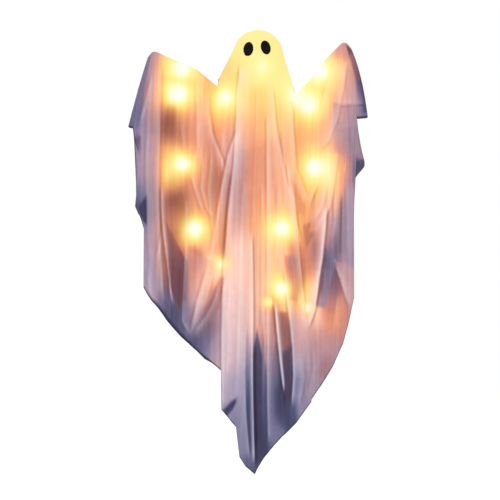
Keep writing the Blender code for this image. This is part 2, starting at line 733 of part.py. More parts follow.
def add_arm(side, name, pivot):
    """One length of wire: a leg in the socket, two bends and a hand loop whose tail lies back
    against the forearm under a ferrule."""
    shoulder, elbow, wrist, loop = arm_corners(side)
    ahead, beneath = (wrist - elbow).normalized(), wire_step(side)
    leg_foot = Vector((side * PIVOT_X, 0, HUB_TOP_Z - HUB_HEIGHT + SOCKET_FLOOR + GAP))
    points = rounded((leg_foot, shoulder, elbow, wrist), ARM_BEND_RADIUS)
    turns = 14
    for i in range(turns + 1):
        angle = (math.pi - HAND_OPENING) * (1 - 2 * i / turns)
        spoke = ahead * math.cos(angle) - beneath.normalized() * math.sin(angle)
        points.append(loop + HAND_LOOP_RADIUS * spoke)
    points += [wrist + beneath, wrist + beneath - ahead * HAND_TAIL]
    tube(f"{name}_arm_wire", points, ARM_WIRE_RADIUS, ZINC, pivot)
    centre = wrist + beneath / 2 - ahead * HAND_TAIL / 2
    sleeve_ring(
        f"{name}_hand_ferrule", centre, ahead, beneath, ARM_WIRE_RADIUS + GAP, FERRULE_WALL,
        FERRULE_LENGTH, ZINC, pivot,
    )


def sleeve_ring(name, centre, along, apart, inside, wall, length, look, carrier):
    """A sleeve round two wires that lie side by side: apart is the step between their centres."""
    along, across = along.normalized(), apart.normalized()
    third = along.cross(across)
    steps = 6
    bm = bmesh.new()

    def loop(radius, shift):
        ring = []
        for end in (1, -1):
            for i in range(steps + 1):
                angle = math.pi * (i / steps - 1 / 2)
                point = across * end * (apart.length / 2 + radius * math.cos(angle))
                point += third * end * radius * math.sin(angle)
                ring.append(bm.verts.new(centre + point + along * shift))
        return ring

    loops = [
        loop(inside + wall, -length / 2), loop(inside + wall, length / 2),
        loop(inside, length / 2), loop(inside, -length / 2),
    ]
    for near, far in zip(loops, loops[1:] + loops[:1]):
        for a, b, c, d in zip(near, near[1:] + near[:1], far[1:] + far[:1], far):
            bm.faces.new((a, b, c, d))
    bmesh.ops.recalc_face_normals(bm, faces=bm.faces)
    return add_piece(name, mesh_from(name, bm), look, carrier)


def cable_tie(name, wire_point, along, held_point, radius, carrier):
    """A nylon tie round a rod or arm wire and the light wire that lies along it."""
    along = Vector(along).normalized()
    apart = Vector(held_point) - Vector(wire_point)
    apart -= along * apart.dot(along)
    centre = Vector(wire_point) + apart / 2
    inside = radius + GAP
    ring = sleeve_ring(
        name, centre, along, apart, inside, TIE_WALL, TIE_WIDTH, BLACK_PLASTIC, carrier
    )
    out = apart.normalized()
    base = centre + apart / 2 + out * (inside + TIE_WALL / 2)
    frame = Matrix((along.cross(out), along, out)).transposed().to_4x4()
    half = TIE_HEAD / 2
    head = box_mesh((-half, -half, 0), (half, half, TIE_HEAD * 2 / 3))
    head.transform(Matrix.Translation(base) @ frame)
    bmesh.ops.recalc_face_normals(head, faces=head.faces)
    boolean(ring, cutter(name + "_head", head, carrier), "UNION")


# Drapes
def fall_sheet(name, lines, closed, look, carrier):
    """A drape laid down as lines that fall from its top, neighbours joined row by row."""
    bm = bmesh.new()
    columns = [[bm.verts.new(point) for point in line] for line in lines]
    neighbours = zip(columns, columns[1:] + columns[:1] if closed else columns[1:])
    for near, far in neighbours:
        for row in range(min(len(near), len(far)) - 1):
            bm.faces.new((near[row], near[row + 1], far[row + 1], far[row]))
    bmesh.ops.remove_doubles(bm, verts=bm.verts, dist=MERGE)
    drape = add_piece(name, mesh_from(name, bm), look, carrier, math.pi)
    wall = drape.modifiers.new("cloth", "SOLIDIFY")
    wall.thickness = DRAPE_THICKNESS
    wall.offset = 1
    return drape


def rim_height(side, x, y):
    """Height of the dome's rim over an arm, clear of the arm drape as it swings below."""
    width, bulge = side_width(side)
    reach = math.hypot(abs(x) - PIVOT_X, y)
    reach = min(reach, (width + bulge - PIVOT_X) / math.cos(LAP_SWEEP))
    over = arm_height(side, PIVOT_X + reach) + ridge_cover(side) + DRAPE_THICKNESS
    return over + LAP_GAP


def leave_angle(rim):
    """Angle down from the crown where cloth drawn to this rim leaves the globe, just past the
    point where it would touch it as a tangent."""
    out, up = math.hypot(rim.x, rim.y), rim.z - GLOBE_Z
    tangent = math.atan2(out, up) - math.acos(DOME_RADIUS / math.hypot(out, up))
    return mix(math.pi / 2, tangent, LEAVE_SHARE)


def side_width(side):
    if side < 0:
        return LEFT_PANEL_WIDTH, LEFT_SIDE_BULGE
    return RIGHT_PANEL_WIDTH, RIGHT_SIDE_BULGE


def panel_width(side, drop):
    """Half width of the front and back panels on this side, this far below the crown."""
    width, _ = side_width(side)
    if side < 0:
        return width
    spread = ease((drop / GHOST_HEIGHT - SPREAD_START_SHARE) / SPREAD_RUN_SHARE)
    return mix(width, RIGHT_HEM_WIDTH, spread)


def panel_depth(drop):
    """Half depth of the panels, which widen to the knees and draw in at the tail."""
    share = drop / GHOST_HEIGHT
    deepened = ease((share - DEEPEN_START_SHARE) / DEEPEN_RUN_SHARE)
    drawn_in = ease((share - TAIL_START_SHARE) / (1 - TAIL_START_SHARE))
    return mix(mix(RIM_DEPTH, LOW_DEPTH, deepened), TAIL_DEPTH, drawn_in)


def body_line(place, front, edge_side=0):
    """One falling line of the body drape. place runs from -1 to 1 across a panel, or from 0 to 1
    round a side from front to back."""
    if edge_side:
        width, bulge = side_width(edge_side)
        angle = PANEL_EDGE_ANGLE + (math.pi - 2 * PANEL_EDGE_ANGLE) * place
        edge_y = -RIM_DEPTH * (1 - EDGE_TUCK_SHARE) * (1 - 2 * place)
        rim = Vector((edge_side * (width + bulge * 4 * place * (1 - place)), edge_y, 0))
        dome = Vector((edge_side * math.sin(angle), -math.cos(angle), 0))
        rim.z = rim_height(edge_side, rim.x, rim.y)
    else:
        side = -1 if place < 0 else 1
        width, _ = side_width(side)
        tuck = 1 - EDGE_TUCK_SHARE * place**4
        rim = Vector((width * place, front * RIM_DEPTH * tuck, 0))
        angle = PANEL_EDGE_ANGLE * place
        dome = Vector((math.sin(angle), front * math.cos(angle), 0))
        edge_y = RIM_DEPTH * (1 - EDGE_TUCK_SHARE)
        rim.z = rim_height(side, width, edge_y)
    points = []
    leaves = leave_angle(rim)
    for i in range(DOME_RINGS + 1):
        angle = leaves * i / DOME_RINGS
        out = dome * DOME_RADIUS * math.sin(angle)
        points.append(out + Vector((0, 0, GLOBE_Z + DOME_RADIUS * math.cos(angle))))
    waist = points[-1]
    for i in range(1, FLARE_ROWS + 1):
        points.append(waist.lerp(rim, i / FLARE_ROWS))
    if edge_side:
        return points
    hems = FRONT_HEM_SHARES if front < 0 else BACK_HEM_SHARES
    hem = read_shares(hems, place) * GHOST_HEIGHT
    phase = 0 if front < 0 else math.pi / 3
    for i in range(1, PANEL_ROWS + 1):
        drop = mix(-rim.z, hem, i / PANEL_ROWS)
        swell = ease((drop + rim.z) / BODY_FOLD_RUN)
        tuck = 1 - EDGE_TUCK_SHARE * place**4
        x = panel_width(side, drop) * place
        main_wave = math.cos(math.pi * BODY_FOLDS * place + phase)
        slow_wave = math.cos(math.pi * BODY_FOLDS / 2 * place + 2 * phase + 1)
        wave = mix(slow_wave, main_wave, BODY_MAIN_FOLD_SHARE)
        y = panel_depth(drop) * tuck + BODY_FOLD * swell * wave
        points.append(Vector((x, front * y, -drop)))
    return points


def add_body_drape(ghost):
    """The drape over the head: closed round the dome, open at each side below the arms."""
    lines = []
    places = [2 * i / (PANEL_LINES - 1) - 1 for i in range(PANEL_LINES)]
    sides = [(i + 1) / (SIDE_LINES + 1) for i in range(SIDE_LINES)]
    lines += [body_line(place, -1) for place in places]
    lines += [body_line(place, 0, 1) for place in sides]
    lines += [body_line(place, 1) for place in reversed(places)]
    lines += [body_line(place, 0, -1) for place in reversed(sides)]
    drape = fall_sheet("body_drape", lines, True, GAUZE, ghost)
    start = Vector((0, 0, GLOBE_Z)) + hanger_aim() * (GLOBE_RADIUS - OVERRUN)
    hole = rod_mesh(HANGER_WIRE_RADIUS + GAP, start, hanger_centre(), 10)
    boolean(drape, cutter("shank_hole", hole, ghost), "DIFFERENCE")
    return drape


def wing_fold(path, drop):
    """How far a fold stands out here. path runs along the arm and on round the hand."""
    grown = 1 - math.exp(-drop / WING_SPREAD_RUN)
    return WING_FOLD * grown * math.cos(2 * math.pi * WING_FOLDS * path + 1)


def wing_line(side, share, heading, front):
    """One falling line of an arm drape: share along the ridge, heading 90 degrees for a line
    that falls in front of the arm or behind it, less for one that falls off the hand."""
    loop = arm_corners(side)[3]
    outer = abs(loop.x) + TIP_START_SHARE * HAND_LOOP_RADIUS
    ridge_x = mix(WING_INNER_X, outer, share)
    ridge_z = arm_height(side, ridge_x) + ridge_cover(side)
    off_hand = math.cos(heading)
    if side < 0:
        hems = LEFT_FRONT_HEM_SHARES if front < 0 else LEFT_BACK_HEM_SHARES
        tip_hems, tip_reach = LEFT_TIP_HEM_SHARES, LEFT_TIP_REACH
        straight, flap_step = LEFT_TIP_STRAIGHT_SHARE, LEFT_FLAP_STEP_SHARE
    else:
        hems = RIGHT_FRONT_HEM_SHARES if front < 0 else RIGHT_BACK_HEM_SHARES
        tip_hems, tip_reach = RIGHT_TIP_HEM_SHARES, RIGHT_TIP_REACH
        straight, flap_step = RIGHT_TIP_STRAIGHT_SHARE, RIGHT_FLAP_STEP_SHARE
    turn = abs(heading) / (math.pi / 2)
    hem = read_shares(hems, share) if share < 1 else read_shares(tip_hems, turn)
    tip_reach *= 1 - flap_step * ease((turn - FLAP_START_SHARE) / FLAP_RUN_SHARE)
    fall = hem * GHOST_HEIGHT + ridge_z
    deep = mix(WING_INNER_DEPTH, WING_OUTER_DEPTH, share)
    points = [Vector((side * ridge_x, 0, ridge_z))]
    first = mix(WING_TOP_DROP, TIP_FIRST_DROP, off_hand)
    for i in range(WING_ROWS):
        t = i / (WING_ROWS - 1)
        drop = mix(first, fall, t**WING_ROW_EASE)
        spread = 1 - math.exp(-(drop - first) / WING_SPREAD_RUN)
        aside = mix(WING_TOP_DEPTH, deep, spread)
        slope = min(1, (drop - first) / TIP_SLOPE_FALL)
        away = mix(TIP_FIRST_REACH, tip_reach, mix(spread, slope, straight)) * off_hand
        path = share + (1 - turn if share == 1 else 0) / WING_FOLDS
        fold = wing_fold(front * path if front > 0 else path, drop)
        settle = 1 - math.exp(-drop / WING_DRIFT_RUN)
        shift = WING_DRIFT * share * settle - WING_TUCK * (1 - share) ** 2 * settle
        x = ridge_x + shift + away + fold * off_hand
        y = front * (aside + fold) * math.sin(abs(heading))
        points.append(Vector((side * x, y, ridge_z - drop)))
    return points


def add_arm_drape(side, name, pivot):
    shares = [i / (WING_LINES - 1) for i in range(WING_LINES)]
    steps = [(i + 1) / (TIP_LINES + 1) for i in range(TIP_LINES)]
    lines = [wing_line(side, share, math.pi / 2, 1) for share in shares]
    for step in steps:
        heading = math.pi / 2 * (1 - 2 * step)
        lines.append(wing_line(side, 1, heading, 1 if heading > 0 else -1))
    lines += [wing_line(side, share, math.pi / 2, -1) for share in reversed(shares)]
    if side > 0:
        lines.reverse()
    fall_sheet(f"{name}_arm_drape", lines, False, GAUZE, pivot)


# Light string
def light_wire(name, route, carrier):
    return tube(name, smooth_route(route, ROUTE_STEP), WIRE_RADIUS, CLEAR_WIRE, carrier)


def light_mesh(place, aim):
    """A lamp in its holder, from the holder's base, turned in one profile."""
    lens_end = HOLDER_LENGTH + LENS_LENGTH
    shoulder = math.sqrt(1 / 2)
    profile = [
        (0, 0),
        (HOLDER_RADIUS - LIGHT_CHAMFER, 0),
        (HOLDER_RADIUS, LIGHT_CHAMFER),
        (HOLDER_RADIUS, HOLDER_LENGTH - LIGHT_CHAMFER),
        (LENS_RADIUS, HOLDER_LENGTH),
        (LENS_RADIUS, lens_end - LENS_RADIUS),
        (LENS_RADIUS * shoulder, lens_end - LENS_RADIUS * (1 - shoulder)),
        (0, lens_end),
    ]
    return turned_mesh(profile, LIGHT_SEGMENTS, place, aim)


def add_lights(route, points, aims, first, carrier):
    """A lamp at each named point of a wire's route, seated on the side or the end of the wire."""
    knots = [Vector(point) for point in route]
    for number, (index, aim) in enumerate(zip(points, aims), first):
        here, aim = knots[index], Vector(aim)
        last = index == len(knots) - 1
        run = knots[min(index + 1, len(knots) - 1)] - knots[index - 1]
        along = run.normalized()
        seat = GAP
        if last:
            aim = (knots[-1] - knots[-2]).normalized()
        else:
            aim = (aim - along * aim.dot(along)).normalized()
            seat += WIRE_RADIUS
        name = f"light_{number:02d}"
        bm = light_mesh(here + aim * seat, aim)
        add_piece(name, mesh_from(name, bm), LAMP, carrier)


def add_root_lights(ghost):
    """Splitter, battery lead, head and centre strands, and the links to the arm wires."""
    back = HUB_DEPTH / 2 + GAP
    low = (-SPLITTER_WIDTH / 2, back, SPLITTER_TOP_Z - SPLITTER_HEIGHT)
    high = (SPLITTER_WIDTH / 2, back + SPLITTER_DEPTH, SPLITTER_TOP_Z)
    block = mesh_from("wire_splitter", box_mesh(low, high))
    splitter = add_piece("wire_splitter", block, BLACK_PLASTIC, ghost)
    edge = splitter.modifiers.new("edges", "BEVEL")
    edge.width = LIGHT_CHAMFER
    middle = back + SPLITTER_DEPTH / 2
    for name, side, route in (
        ("left_shoulder_link", -1, LEFT_WIRE_ROUTE),
        ("right_shoulder_link", 1, RIGHT_WIRE_ROUTE),
    ):
        end = Vector(route[0]) + Vector((0, 0, GAP))
        exit_z = SPLITTER_TOP_Z - SPLITTER_HEIGHT / 2
        start = Vector((side * (SPLITTER_WIDTH / 2 + GAP), middle, exit_z))
        out = Vector((side * (PIVOT_X - SPLITTER_WIDTH / 2) / 3, 0, 0))
        over = end + Vector((0, middle / 4, LINK_TOP_RISE))
        bend = end.lerp(start, LINK_BEND_SHARE) + Vector((0, 0, LINK_TOP_RISE / 2))
        link = [start, start + out, bend, over, end + Vector((0, 0, LINK_END_RISE)), end]
        light_wire(name, link, ghost)
    light_wire("battery_lead", LEAD_WIRE_ROUTE, ghost)
    light_wire("head_strand", HEAD_WIRE_ROUTE, ghost)
    light_wire("centre_strand", CENTRE_WIRE_ROUTE, ghost)
    add_lights(HEAD_WIRE_ROUTE, HEAD_LIGHT_POINTS, HEAD_LIGHT_AIMS, 1, ghost)
    add_lights(CENTRE_WIRE_ROUTE, CENTRE_LIGHT_POINTS, CENTRE_LIGHT_AIMS, 3, ghost)
    held = HEAD_WIRE_ROUTE[SPINE_TIE_POINT]
    cable_tie("spine_tie", (0, 0, held[2]), (0, 0, 1), held, SPINE_RADIUS, ghost)


def add_arm_lights(side, name, pivot, route, points, aims, ties, first):
    """The strand that leaves the pivot's axis, runs under the arm wire and drops in the drape."""
    light_wire(f"{name}_arm_strand", route, pivot)
    add_lights(route, points, aims, first, pivot)
    shoulder, elbow, *_ = arm_corners(side)
    along = (elbow - shoulder).normalized()
    for tie, index in zip(("inner", "outer"), ties):
        held = Vector(route[index])
        foot = shoulder + along * (held - shoulder).dot(along)
        cable_tie(f"{name}_{tie}_tie", foot, along, held, ARM_WIRE_RADIUS, pivot)


# Battery box
def case_sizes():
    """Inner half width, bay ceiling and bay floor of the battery box."""
    half = 3 * (CELL_RADIUS + CELL_CLEARANCE / 2) + CELL_CLEARANCE / 2
    ceiling = CASE_TOP_Z - CASE_WALL - SWITCH_BAY - CASE_WALL
    return half, ceiling, ceiling - CELL_LENGTH - CELL_NUB - BAY_SPARE


def case_front():
    """Front face of the case, against the clip's plate on the spine."""
    return SPINE_RADIUS + GAP + CLIP_WALL + CLIP_WALL + GAP


def add_case(ghost):
    half, ceiling, floor = case_sizes()
    front, back = case_front(), CASE_BACK_Y
    low = (-half - CASE_WALL, front, floor - CASE_WALL)
    high = (half + CASE_WALL, back, CASE_TOP_Z)
    block = mesh_from("battery_case", box_mesh(low, high))
    case = add_piece("battery_case", block, WHITE_PLASTIC, ghost)
    lid = back - COVER_THICKNESS - 2 * GAP
    bay = box_mesh((-half, front + CASE_WALL, floor), (half, back + OVERRUN, ceiling))
    boolean(case, cutter("cell_bay", bay, ghost), "DIFFERENCE")
    grooves = box_mesh(
        (-half - COVER_GROOVE, lid - CASE_WALL / 2, floor - CASE_WALL - OVERRUN),
        (half + COVER_GROOVE, back - CASE_WALL / 2, ceiling),
    )
    boolean(case, cutter("cover_grooves", grooves, ghost), "DIFFERENCE")
    mouth = box_mesh(
        (-half, lid - CASE_WALL / 2, floor - CASE_WALL - OVERRUN), (half, back + OVERRUN, ceiling)
    )
    boolean(case, cutter("cover_mouth", mouth, ghost), "DIFFERENCE")
    bay_top, bay_floor = CASE_TOP_Z - CASE_WALL, ceiling + CASE_WALL
    room = box_mesh((-half, front + CASE_WALL, bay_floor), (half, back - CASE_WALL, bay_top))
    boolean(case, cutter("switch_bay", room, ghost), "DIFFERENCE")
    middle = (bay_top + bay_floor) / 2
    slot = box_mesh(
        (-KNOB_WIDTH / 2 - GAP, back - CASE_WALL - OVERRUN, middle - KNOB_HEIGHT / 2 - GAP),
        (KNOB_WIDTH / 2 + SWITCH_TRAVEL + GAP, back + OVERRUN, middle + KNOB_HEIGHT / 2 + GAP),
    )
    boolean(case, cutter("switch_slot", slot, ghost), "DIFFERENCE")
    return half, ceiling, floor, front, back, lid, middle


def add_cover(ghost, sizes):
    """The cover that slides down out of its grooves, with ribs for the thumb."""
    half, ceiling, floor, front, back, lid, _ = sizes
    near = lid - CASE_WALL / 2 + GAP
    high = ceiling - GAP
    slide = pivot_empty("cover_slide", ghost, (0, back, floor))
    wide = half + COVER_GROOVE - GAP
    plate = box_mesh((-wide, near, floor - CASE_WALL), (wide, near + COVER_THICKNESS, high))
    cover = add_piece("battery_cover", mesh_from("battery_cover", plate), WHITE_PLASTIC, slide)
    pad = box_mesh(
        (-half + GAP, near + COVER_THICKNESS / 2, floor - CASE_WALL), (half - GAP, back - GAP, high)
    )
    boolean(cover, cutter("cover_face", pad, slide), "UNION")
    for i in range(GRIP_RIBS):
        z = floor + GRIP_PITCH * (i + 2)
        rib = box_mesh(
            (-GRIP_WIDTH / 2, back - COVER_THICKNESS / 2, z),
            (GRIP_WIDTH / 2, back + GRIP_RIB, z + GRIP_RIB),
        )
        boolean(cover, cutter(f"grip_rib_{i + 1}", rib, slide), "UNION")


def add_cells(ghost, sizes):
    """Three cells side by side, the middle one upside down, each on a coiled spring."""
    half, ceiling, floor, front, back, lid, _ = sizes
    seat_y = (front + CASE_WALL + lid) / 2
    pitch = 2 * CELL_RADIUS + CELL_CLEARANCE
    length = CELL_LENGTH + CELL_NUB
    contact = ceiling - GAP - CONTACT_THICKNESS
    plate = box_mesh(
        (-half + GAP, seat_y - CELL_RADIUS / 2, contact),
        (half - GAP, seat_y + CELL_RADIUS / 2, ceiling - GAP),
    )
    add_piece("contact_plate", mesh_from("contact_plate", plate), SPRING_STEEL, ghost)
    for i in range(3):
        x = (i - 1) * pitch
        up = 1 if i != 1 else -1
        high = contact - GAP
        start = (x, seat_y, high - length if up > 0 else high)
        profile = [
            (0, 0),
            (CELL_RADIUS - LIGHT_CHAMFER, 0),
            (CELL_RADIUS, LIGHT_CHAMFER),
            (CELL_RADIUS, CELL_LENGTH - LIGHT_CHAMFER),
            (CELL_RADIUS - LIGHT_CHAMFER, CELL_LENGTH),
            (CELL_NUB_RADIUS, CELL_LENGTH),
            (CELL_NUB_RADIUS, length),
            (0, length),
        ]
        bm = turned_mesh(profile, 14, start, (0, 0, up))
        name = f"cell_{i + 1}"
        add_piece(name, mesh_from(name, bm), CELL_SKIN, ghost)
        low, top = floor + GAP + SPRING_WIRE, high - length - GAP - SPRING_WIRE
        coil = []
        for k in range(SPRING_TURNS * SPRING_POINTS + 1):
            angle = 2 * math.pi * k / SPRING_POINTS
            across, deep = SPRING_RADIUS * math.cos(angle), SPRING_RADIUS * math.sin(angle)
            rise = mix(low, top, k / (SPRING_TURNS * SPRING_POINTS))
            coil.append((x + across, seat_y + deep, rise))
        tube(f"contact_spring_{i + 1}", coil, SPRING_WIRE, SPRING_STEEL, ghost, 1)


def add_switch(ghost, sizes):
    """Circuit board with the switch body, and the knob that slides in the case's slot."""
    half, ceiling, floor, front, back, lid, middle = sizes
    bay_high, bay_low = CASE_TOP_Z - CASE_WALL - GAP, ceiling + CASE_WALL + GAP
    near = front + CASE_WALL + GAP
    board = box_mesh((-half + GAP, near, bay_low), (half - GAP, near + BOARD_THICKNESS, bay_high))
    board = add_piece("circuit_board", mesh_from("circuit_board", board), BOARD_GREEN, ghost)
    knob_back = back - CASE_WALL - GAP
    seat = knob_back - KNOB_STAND
    offset = SWITCH_TRAVEL / 2
    body = box_mesh(
        (offset - SWITCH_WIDTH / 2, near + BOARD_THICKNESS / 2, middle - SWITCH_HEIGHT / 2),
        (offset + SWITCH_WIDTH / 2, seat - GAP, middle + SWITCH_HEIGHT / 2),
    )
    boolean(board, cutter("switch_body", body, ghost), "UNION")
    slide = pivot_empty("switch_slide", ghost, (0, back, middle))
    foot = box_mesh(
        (-KNOB_WIDTH / 2, seat, middle - SWITCH_HEIGHT / 2),
        (KNOB_WIDTH / 2, knob_back, middle + SWITCH_HEIGHT / 2),
    )
    knob = add_piece("power_switch", mesh_from("power_switch", foot), BLACK_PLASTIC, slide)
    stem = box_mesh(
        (-KNOB_WIDTH / 2, seat + KNOB_STAND / 2, middle - KNOB_HEIGHT / 2),
        (KNOB_WIDTH / 2, back + KNOB_STAND, middle + KNOB_HEIGHT / 2),
    )
    boolean(knob, cutter("knob_stem", stem, slide), "UNION")


def add_clip(ghost, sizes):
    """The clip that snaps the case to the spine: a split ring and the plate behind it."""
    _, ceiling, floor, front, *_ = sizes
    inside, outside = SPINE_RADIUS + GAP, SPINE_RADIUS + GAP + CLIP_WALL
    middle = (ceiling + floor) / 2
    low, high = middle - CLIP_HEIGHT / 2, middle + CLIP_HEIGHT / 2
    bm = rod_mesh(outside, (0, 0, low), (0, 0, high), 20)
    clip = add_piece("case_clip", mesh_from("case_clip", bm), WHITE_PLASTIC, ghost)
    wide, near = CLIP_WIDTH / 2, outside - CLIP_WALL / 2
    plate = box_mesh((-wide, near, low), (wide, front - GAP, high))
    boolean(clip, cutter("clip_plate", plate, ghost), "UNION")
    bore = rod_mesh(inside, (0, 0, low - OVERRUN), (0, 0, high + OVERRUN), 20)
    boolean(clip, cutter("clip_bore", bore, ghost), "DIFFERENCE")
    mouth = SPINE_RADIUS * CLIP_MOUTH_SHARE / 2
    gap = box_mesh((-mouth, -outside - OVERRUN, low - OVERRUN), (mouth, 0, high + OVERRUN))
    boolean(clip, cutter("clip_mouth", gap, ghost), "DIFFERENCE")


def add_ghost():
    clear_scene()
    ghost = bpy.data.objects.new("ghost", None)
    bpy.context.collection.objects.link(ghost)
    ghost.location = -hook_point()
    left = pivot_empty("left_shoulder_pivot", ghost, (-PIVOT_X, 0, HUB_TOP_Z))
    right = pivot_empty("right_shoulder_pivot", ghost, (PIVOT_X, 0, HUB_TOP_Z))
    add_globe(ghost)
    add_hanging_eye(ghost)
    add_collar(ghost)
    add_spine(ghost)
    add_hub(ghost)
    add_arm(-1, "left", left)
    add_arm(1, "right", right)
    drape = add_body_drape(ghost)
    add_eyes(drape, ghost)
    add_arm_drape(-1, "left", left)
    add_arm_drape(1, "right", right)
    add_root_lights(ghost)
    root_lights = len(HEAD_LIGHT_POINTS) + len(CENTRE_LIGHT_POINTS)
    left_first = 1 + root_lights
    add_arm_lights(
        -1, "left", left, LEFT_WIRE_ROUTE, LEFT_LIGHT_POINTS, LEFT_LIGHT_AIMS, LEFT_TIE_POINTS,
        left_first,
    )
    right_first = left_first + len(LEFT_LIGHT_POINTS)
    add_arm_lights(
        1, "right", right, RIGHT_WIRE_ROUTE, RIGHT_LIGHT_POINTS, RIGHT_LIGHT_AIMS, RIGHT_TIE_POINTS,
        right_first,
    )
    sizes = add_case(ghost)
    add_cover(ghost, sizes)
    add_cells(ghost, sizes)
    add_switch(ghost, sizes)
    add_clip(ghost, sizes)


add_ghost()
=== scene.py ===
# %% [markdown]
# A ghost decoration that lights up. A frosted globe makes the head, two bent wires make the arms,
# and three pieces of sheer gauze hang over them with strings of warm lamps inside.
# This lesson dresses the plain frame in its cloth, its wires, its lamps and its light.
# We start by loading the frame. Its nodes are selected, so we let go of them at once, because
# every edit operator acts on all that is selected.

# %% Load the frame
import math

import bmesh
import bpy
import numpy as np
from mathutils import Matrix, Vector
from mathutils.bvhtree import BVHTree


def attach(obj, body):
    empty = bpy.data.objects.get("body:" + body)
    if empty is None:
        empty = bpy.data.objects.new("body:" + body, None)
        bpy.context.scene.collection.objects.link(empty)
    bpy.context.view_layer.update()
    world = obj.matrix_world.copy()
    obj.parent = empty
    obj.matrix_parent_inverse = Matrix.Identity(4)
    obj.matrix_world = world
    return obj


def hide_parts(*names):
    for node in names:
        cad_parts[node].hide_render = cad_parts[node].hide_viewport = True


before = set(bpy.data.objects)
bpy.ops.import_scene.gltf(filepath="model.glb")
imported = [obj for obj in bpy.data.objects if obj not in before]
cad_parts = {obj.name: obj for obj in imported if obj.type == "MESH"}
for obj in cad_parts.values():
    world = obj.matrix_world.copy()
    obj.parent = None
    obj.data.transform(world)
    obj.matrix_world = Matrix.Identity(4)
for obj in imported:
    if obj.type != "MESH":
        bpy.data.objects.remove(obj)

bpy.ops.object.select_all(action="DESELECT")
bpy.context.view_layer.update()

# %% [markdown]
# The reference picture is 500 pixels across, and a pixel is 2.72 mm at the arms. All shapes
# below are written from the crown of the head, as a maker would measure them, and CROWN says
# where that is. The camera stands 4.2 m away, level with the middle of the ghost, so the cloth
# that bulges towards it looks hardly larger than the arms behind.

# %% Crown, pixels and camera
CROWN = Vector((0.0, -0.0571342, 0.0060998))
PIXEL = 0.00272
PICTURE = 500
CROWN_PIXEL = (258.0, 30.0)
CAMERA_DISTANCE = 4.2
SENSOR = 36.0

camera_data = bpy.data.cameras.new("photo_camera")
camera_data.sensor_width = SENSOR
camera_data.lens = SENSOR * CAMERA_DISTANCE / (PICTURE * PIXEL)
camera = bpy.data.objects.new("photo_camera", camera_data)
bpy.context.collection.objects.link(camera)
AIM_X = CROWN.x + (PICTURE / 2 - CROWN_PIXEL[0]) * PIXEL
AIM_Z = CROWN.z - (PICTURE / 2 - CROWN_PIXEL[1]) * PIXEL
camera.location = (AIM_X, CROWN.y - CAMERA_DISTANCE, AIM_Z)
camera.rotation_euler = (math.pi / 2, 0, 0)
bpy.context.scene.camera = camera
bpy.context.scene.view_settings.view_transform = "Standard"
print("lens", round(camera_data.lens, 1), "mm")

# %% From a place on the ghost to a pixel of the picture
def pixel_of(points):
    """Pixels across and down for points measured from the crown, as the camera sees them."""
    near = PIXEL * (1 + points[:, 1] / CAMERA_DISTANCE)
    across = PICTURE / 2 + (points[:, 0] - (AIM_X - CROWN.x)) / near
    down = PICTURE / 2 - (points[:, 2] - (AIM_Z - CROWN.z)) / near
    return across, down

# %% [markdown]
# Colours are written as a painter would mix them, 0 to 255, and turned into the linear numbers
# that a shader wants. The small helpers after that add a node, set its sockets and link it, so
# that each finish below reads as a short recipe.

# %% Colours and node helpers
def paint(red, green, blue):
    """A picture colour as linear light, with full alpha."""
    linear = [c / 255 / 12.92 if c <= 10 else ((c / 255 + 0.055) / 1.055) ** 2.4
              for c in (red, green, blue)]
    return (*linear, 1.0)


def put(tree, socket, value):
    """Sets a socket to a value, or links it to another node's output."""
    if isinstance(value, bpy.types.NodeSocket):
        tree.links.new(value, socket)
    else:
        socket.default_value = value


def node(tree, kind, *values, **settings):
    """A node with its first sockets filled in order; settings are the node's own choices."""
    made = tree.nodes.new("ShaderNode" + kind)
    for name, value in settings.items():
        setattr(made, name, value)
    for socket, value in zip(made.inputs, values):
        if value is not None:
            put(tree, socket, value)
    return made


def maths(tree, operation, *values, clamp=False):
    return node(tree, "Math", *values, operation=operation, use_clamp=clamp).outputs[0]


def noise(tree, place, scale, detail=2):
    """A cloudy pattern, about 0.5 on average."""
    made = node(tree, "TexNoise", place)
    made.inputs["Scale"].default_value = scale
    made.inputs["Detail"].default_value = detail
    return made.outputs[0]


def bumped(tree, height, strength, distance):
    """A normal that is roughened by a height, at most this many metres deep."""
    made = node(tree, "Bump")
    made.inputs["Strength"].default_value = strength
    made.inputs["Distance"].default_value = distance
    put(tree, made.inputs["Height"], height)
    return made.outputs[0]


def rescaled(tree, value, *limits, **settings):
    """Carries a value from one range to another: low, high, new low, new high."""
    return node(tree, "MapRange", value, *limits, **settings).outputs[0]


def blend_colours(tree, share, first, second):
    """Mixes two colours; the colour sockets of a Mix node are its seventh and eighth."""
    made = tree.nodes.new("ShaderNodeMix")
    made.data_type = "RGBA"
    put(tree, made.inputs[0], share)
    put(tree, made.inputs[6], first)
    put(tree, made.inputs[7], second)
    return made.outputs[2]


def ramp(tree, value, stops, smooth="EASE"):
    """A colour ramp with stops of (place, colour)."""
    made = node(tree, "ValToRGB", value)
    bar = made.color_ramp
    bar.interpolation = smooth
    while len(bar.elements) < len(stops):
        bar.elements.new(0.5)
    for element, (place, colour) in zip(bar.elements, stops):
        element.position = place
        element.color = colour if hasattr(colour, "__len__") else (colour,) * 3 + (1.0,)
    return made.outputs[0]


def dimmed(tree, share, colour):
    return blend_colours(tree, share, (0, 0, 0, 1), colour)


def finish_named(name):
    """A new material: its node tree, and its Principled shader to set."""
    made = bpy.data.materials.new(name)
    made.use_nodes = True
    return made, made.node_tree, made.node_tree.nodes["Principled BSDF"]


def set_sockets(tree, shader, **sockets):
    """Sets named sockets of a shader; a socket is written with _ for each space."""
    for name, value in sockets.items():
        put(tree, shader.inputs[name.replace("_", " ")], value)


def place_of(tree):
    return tree.nodes.new("ShaderNodeTexCoord").outputs["Object"]


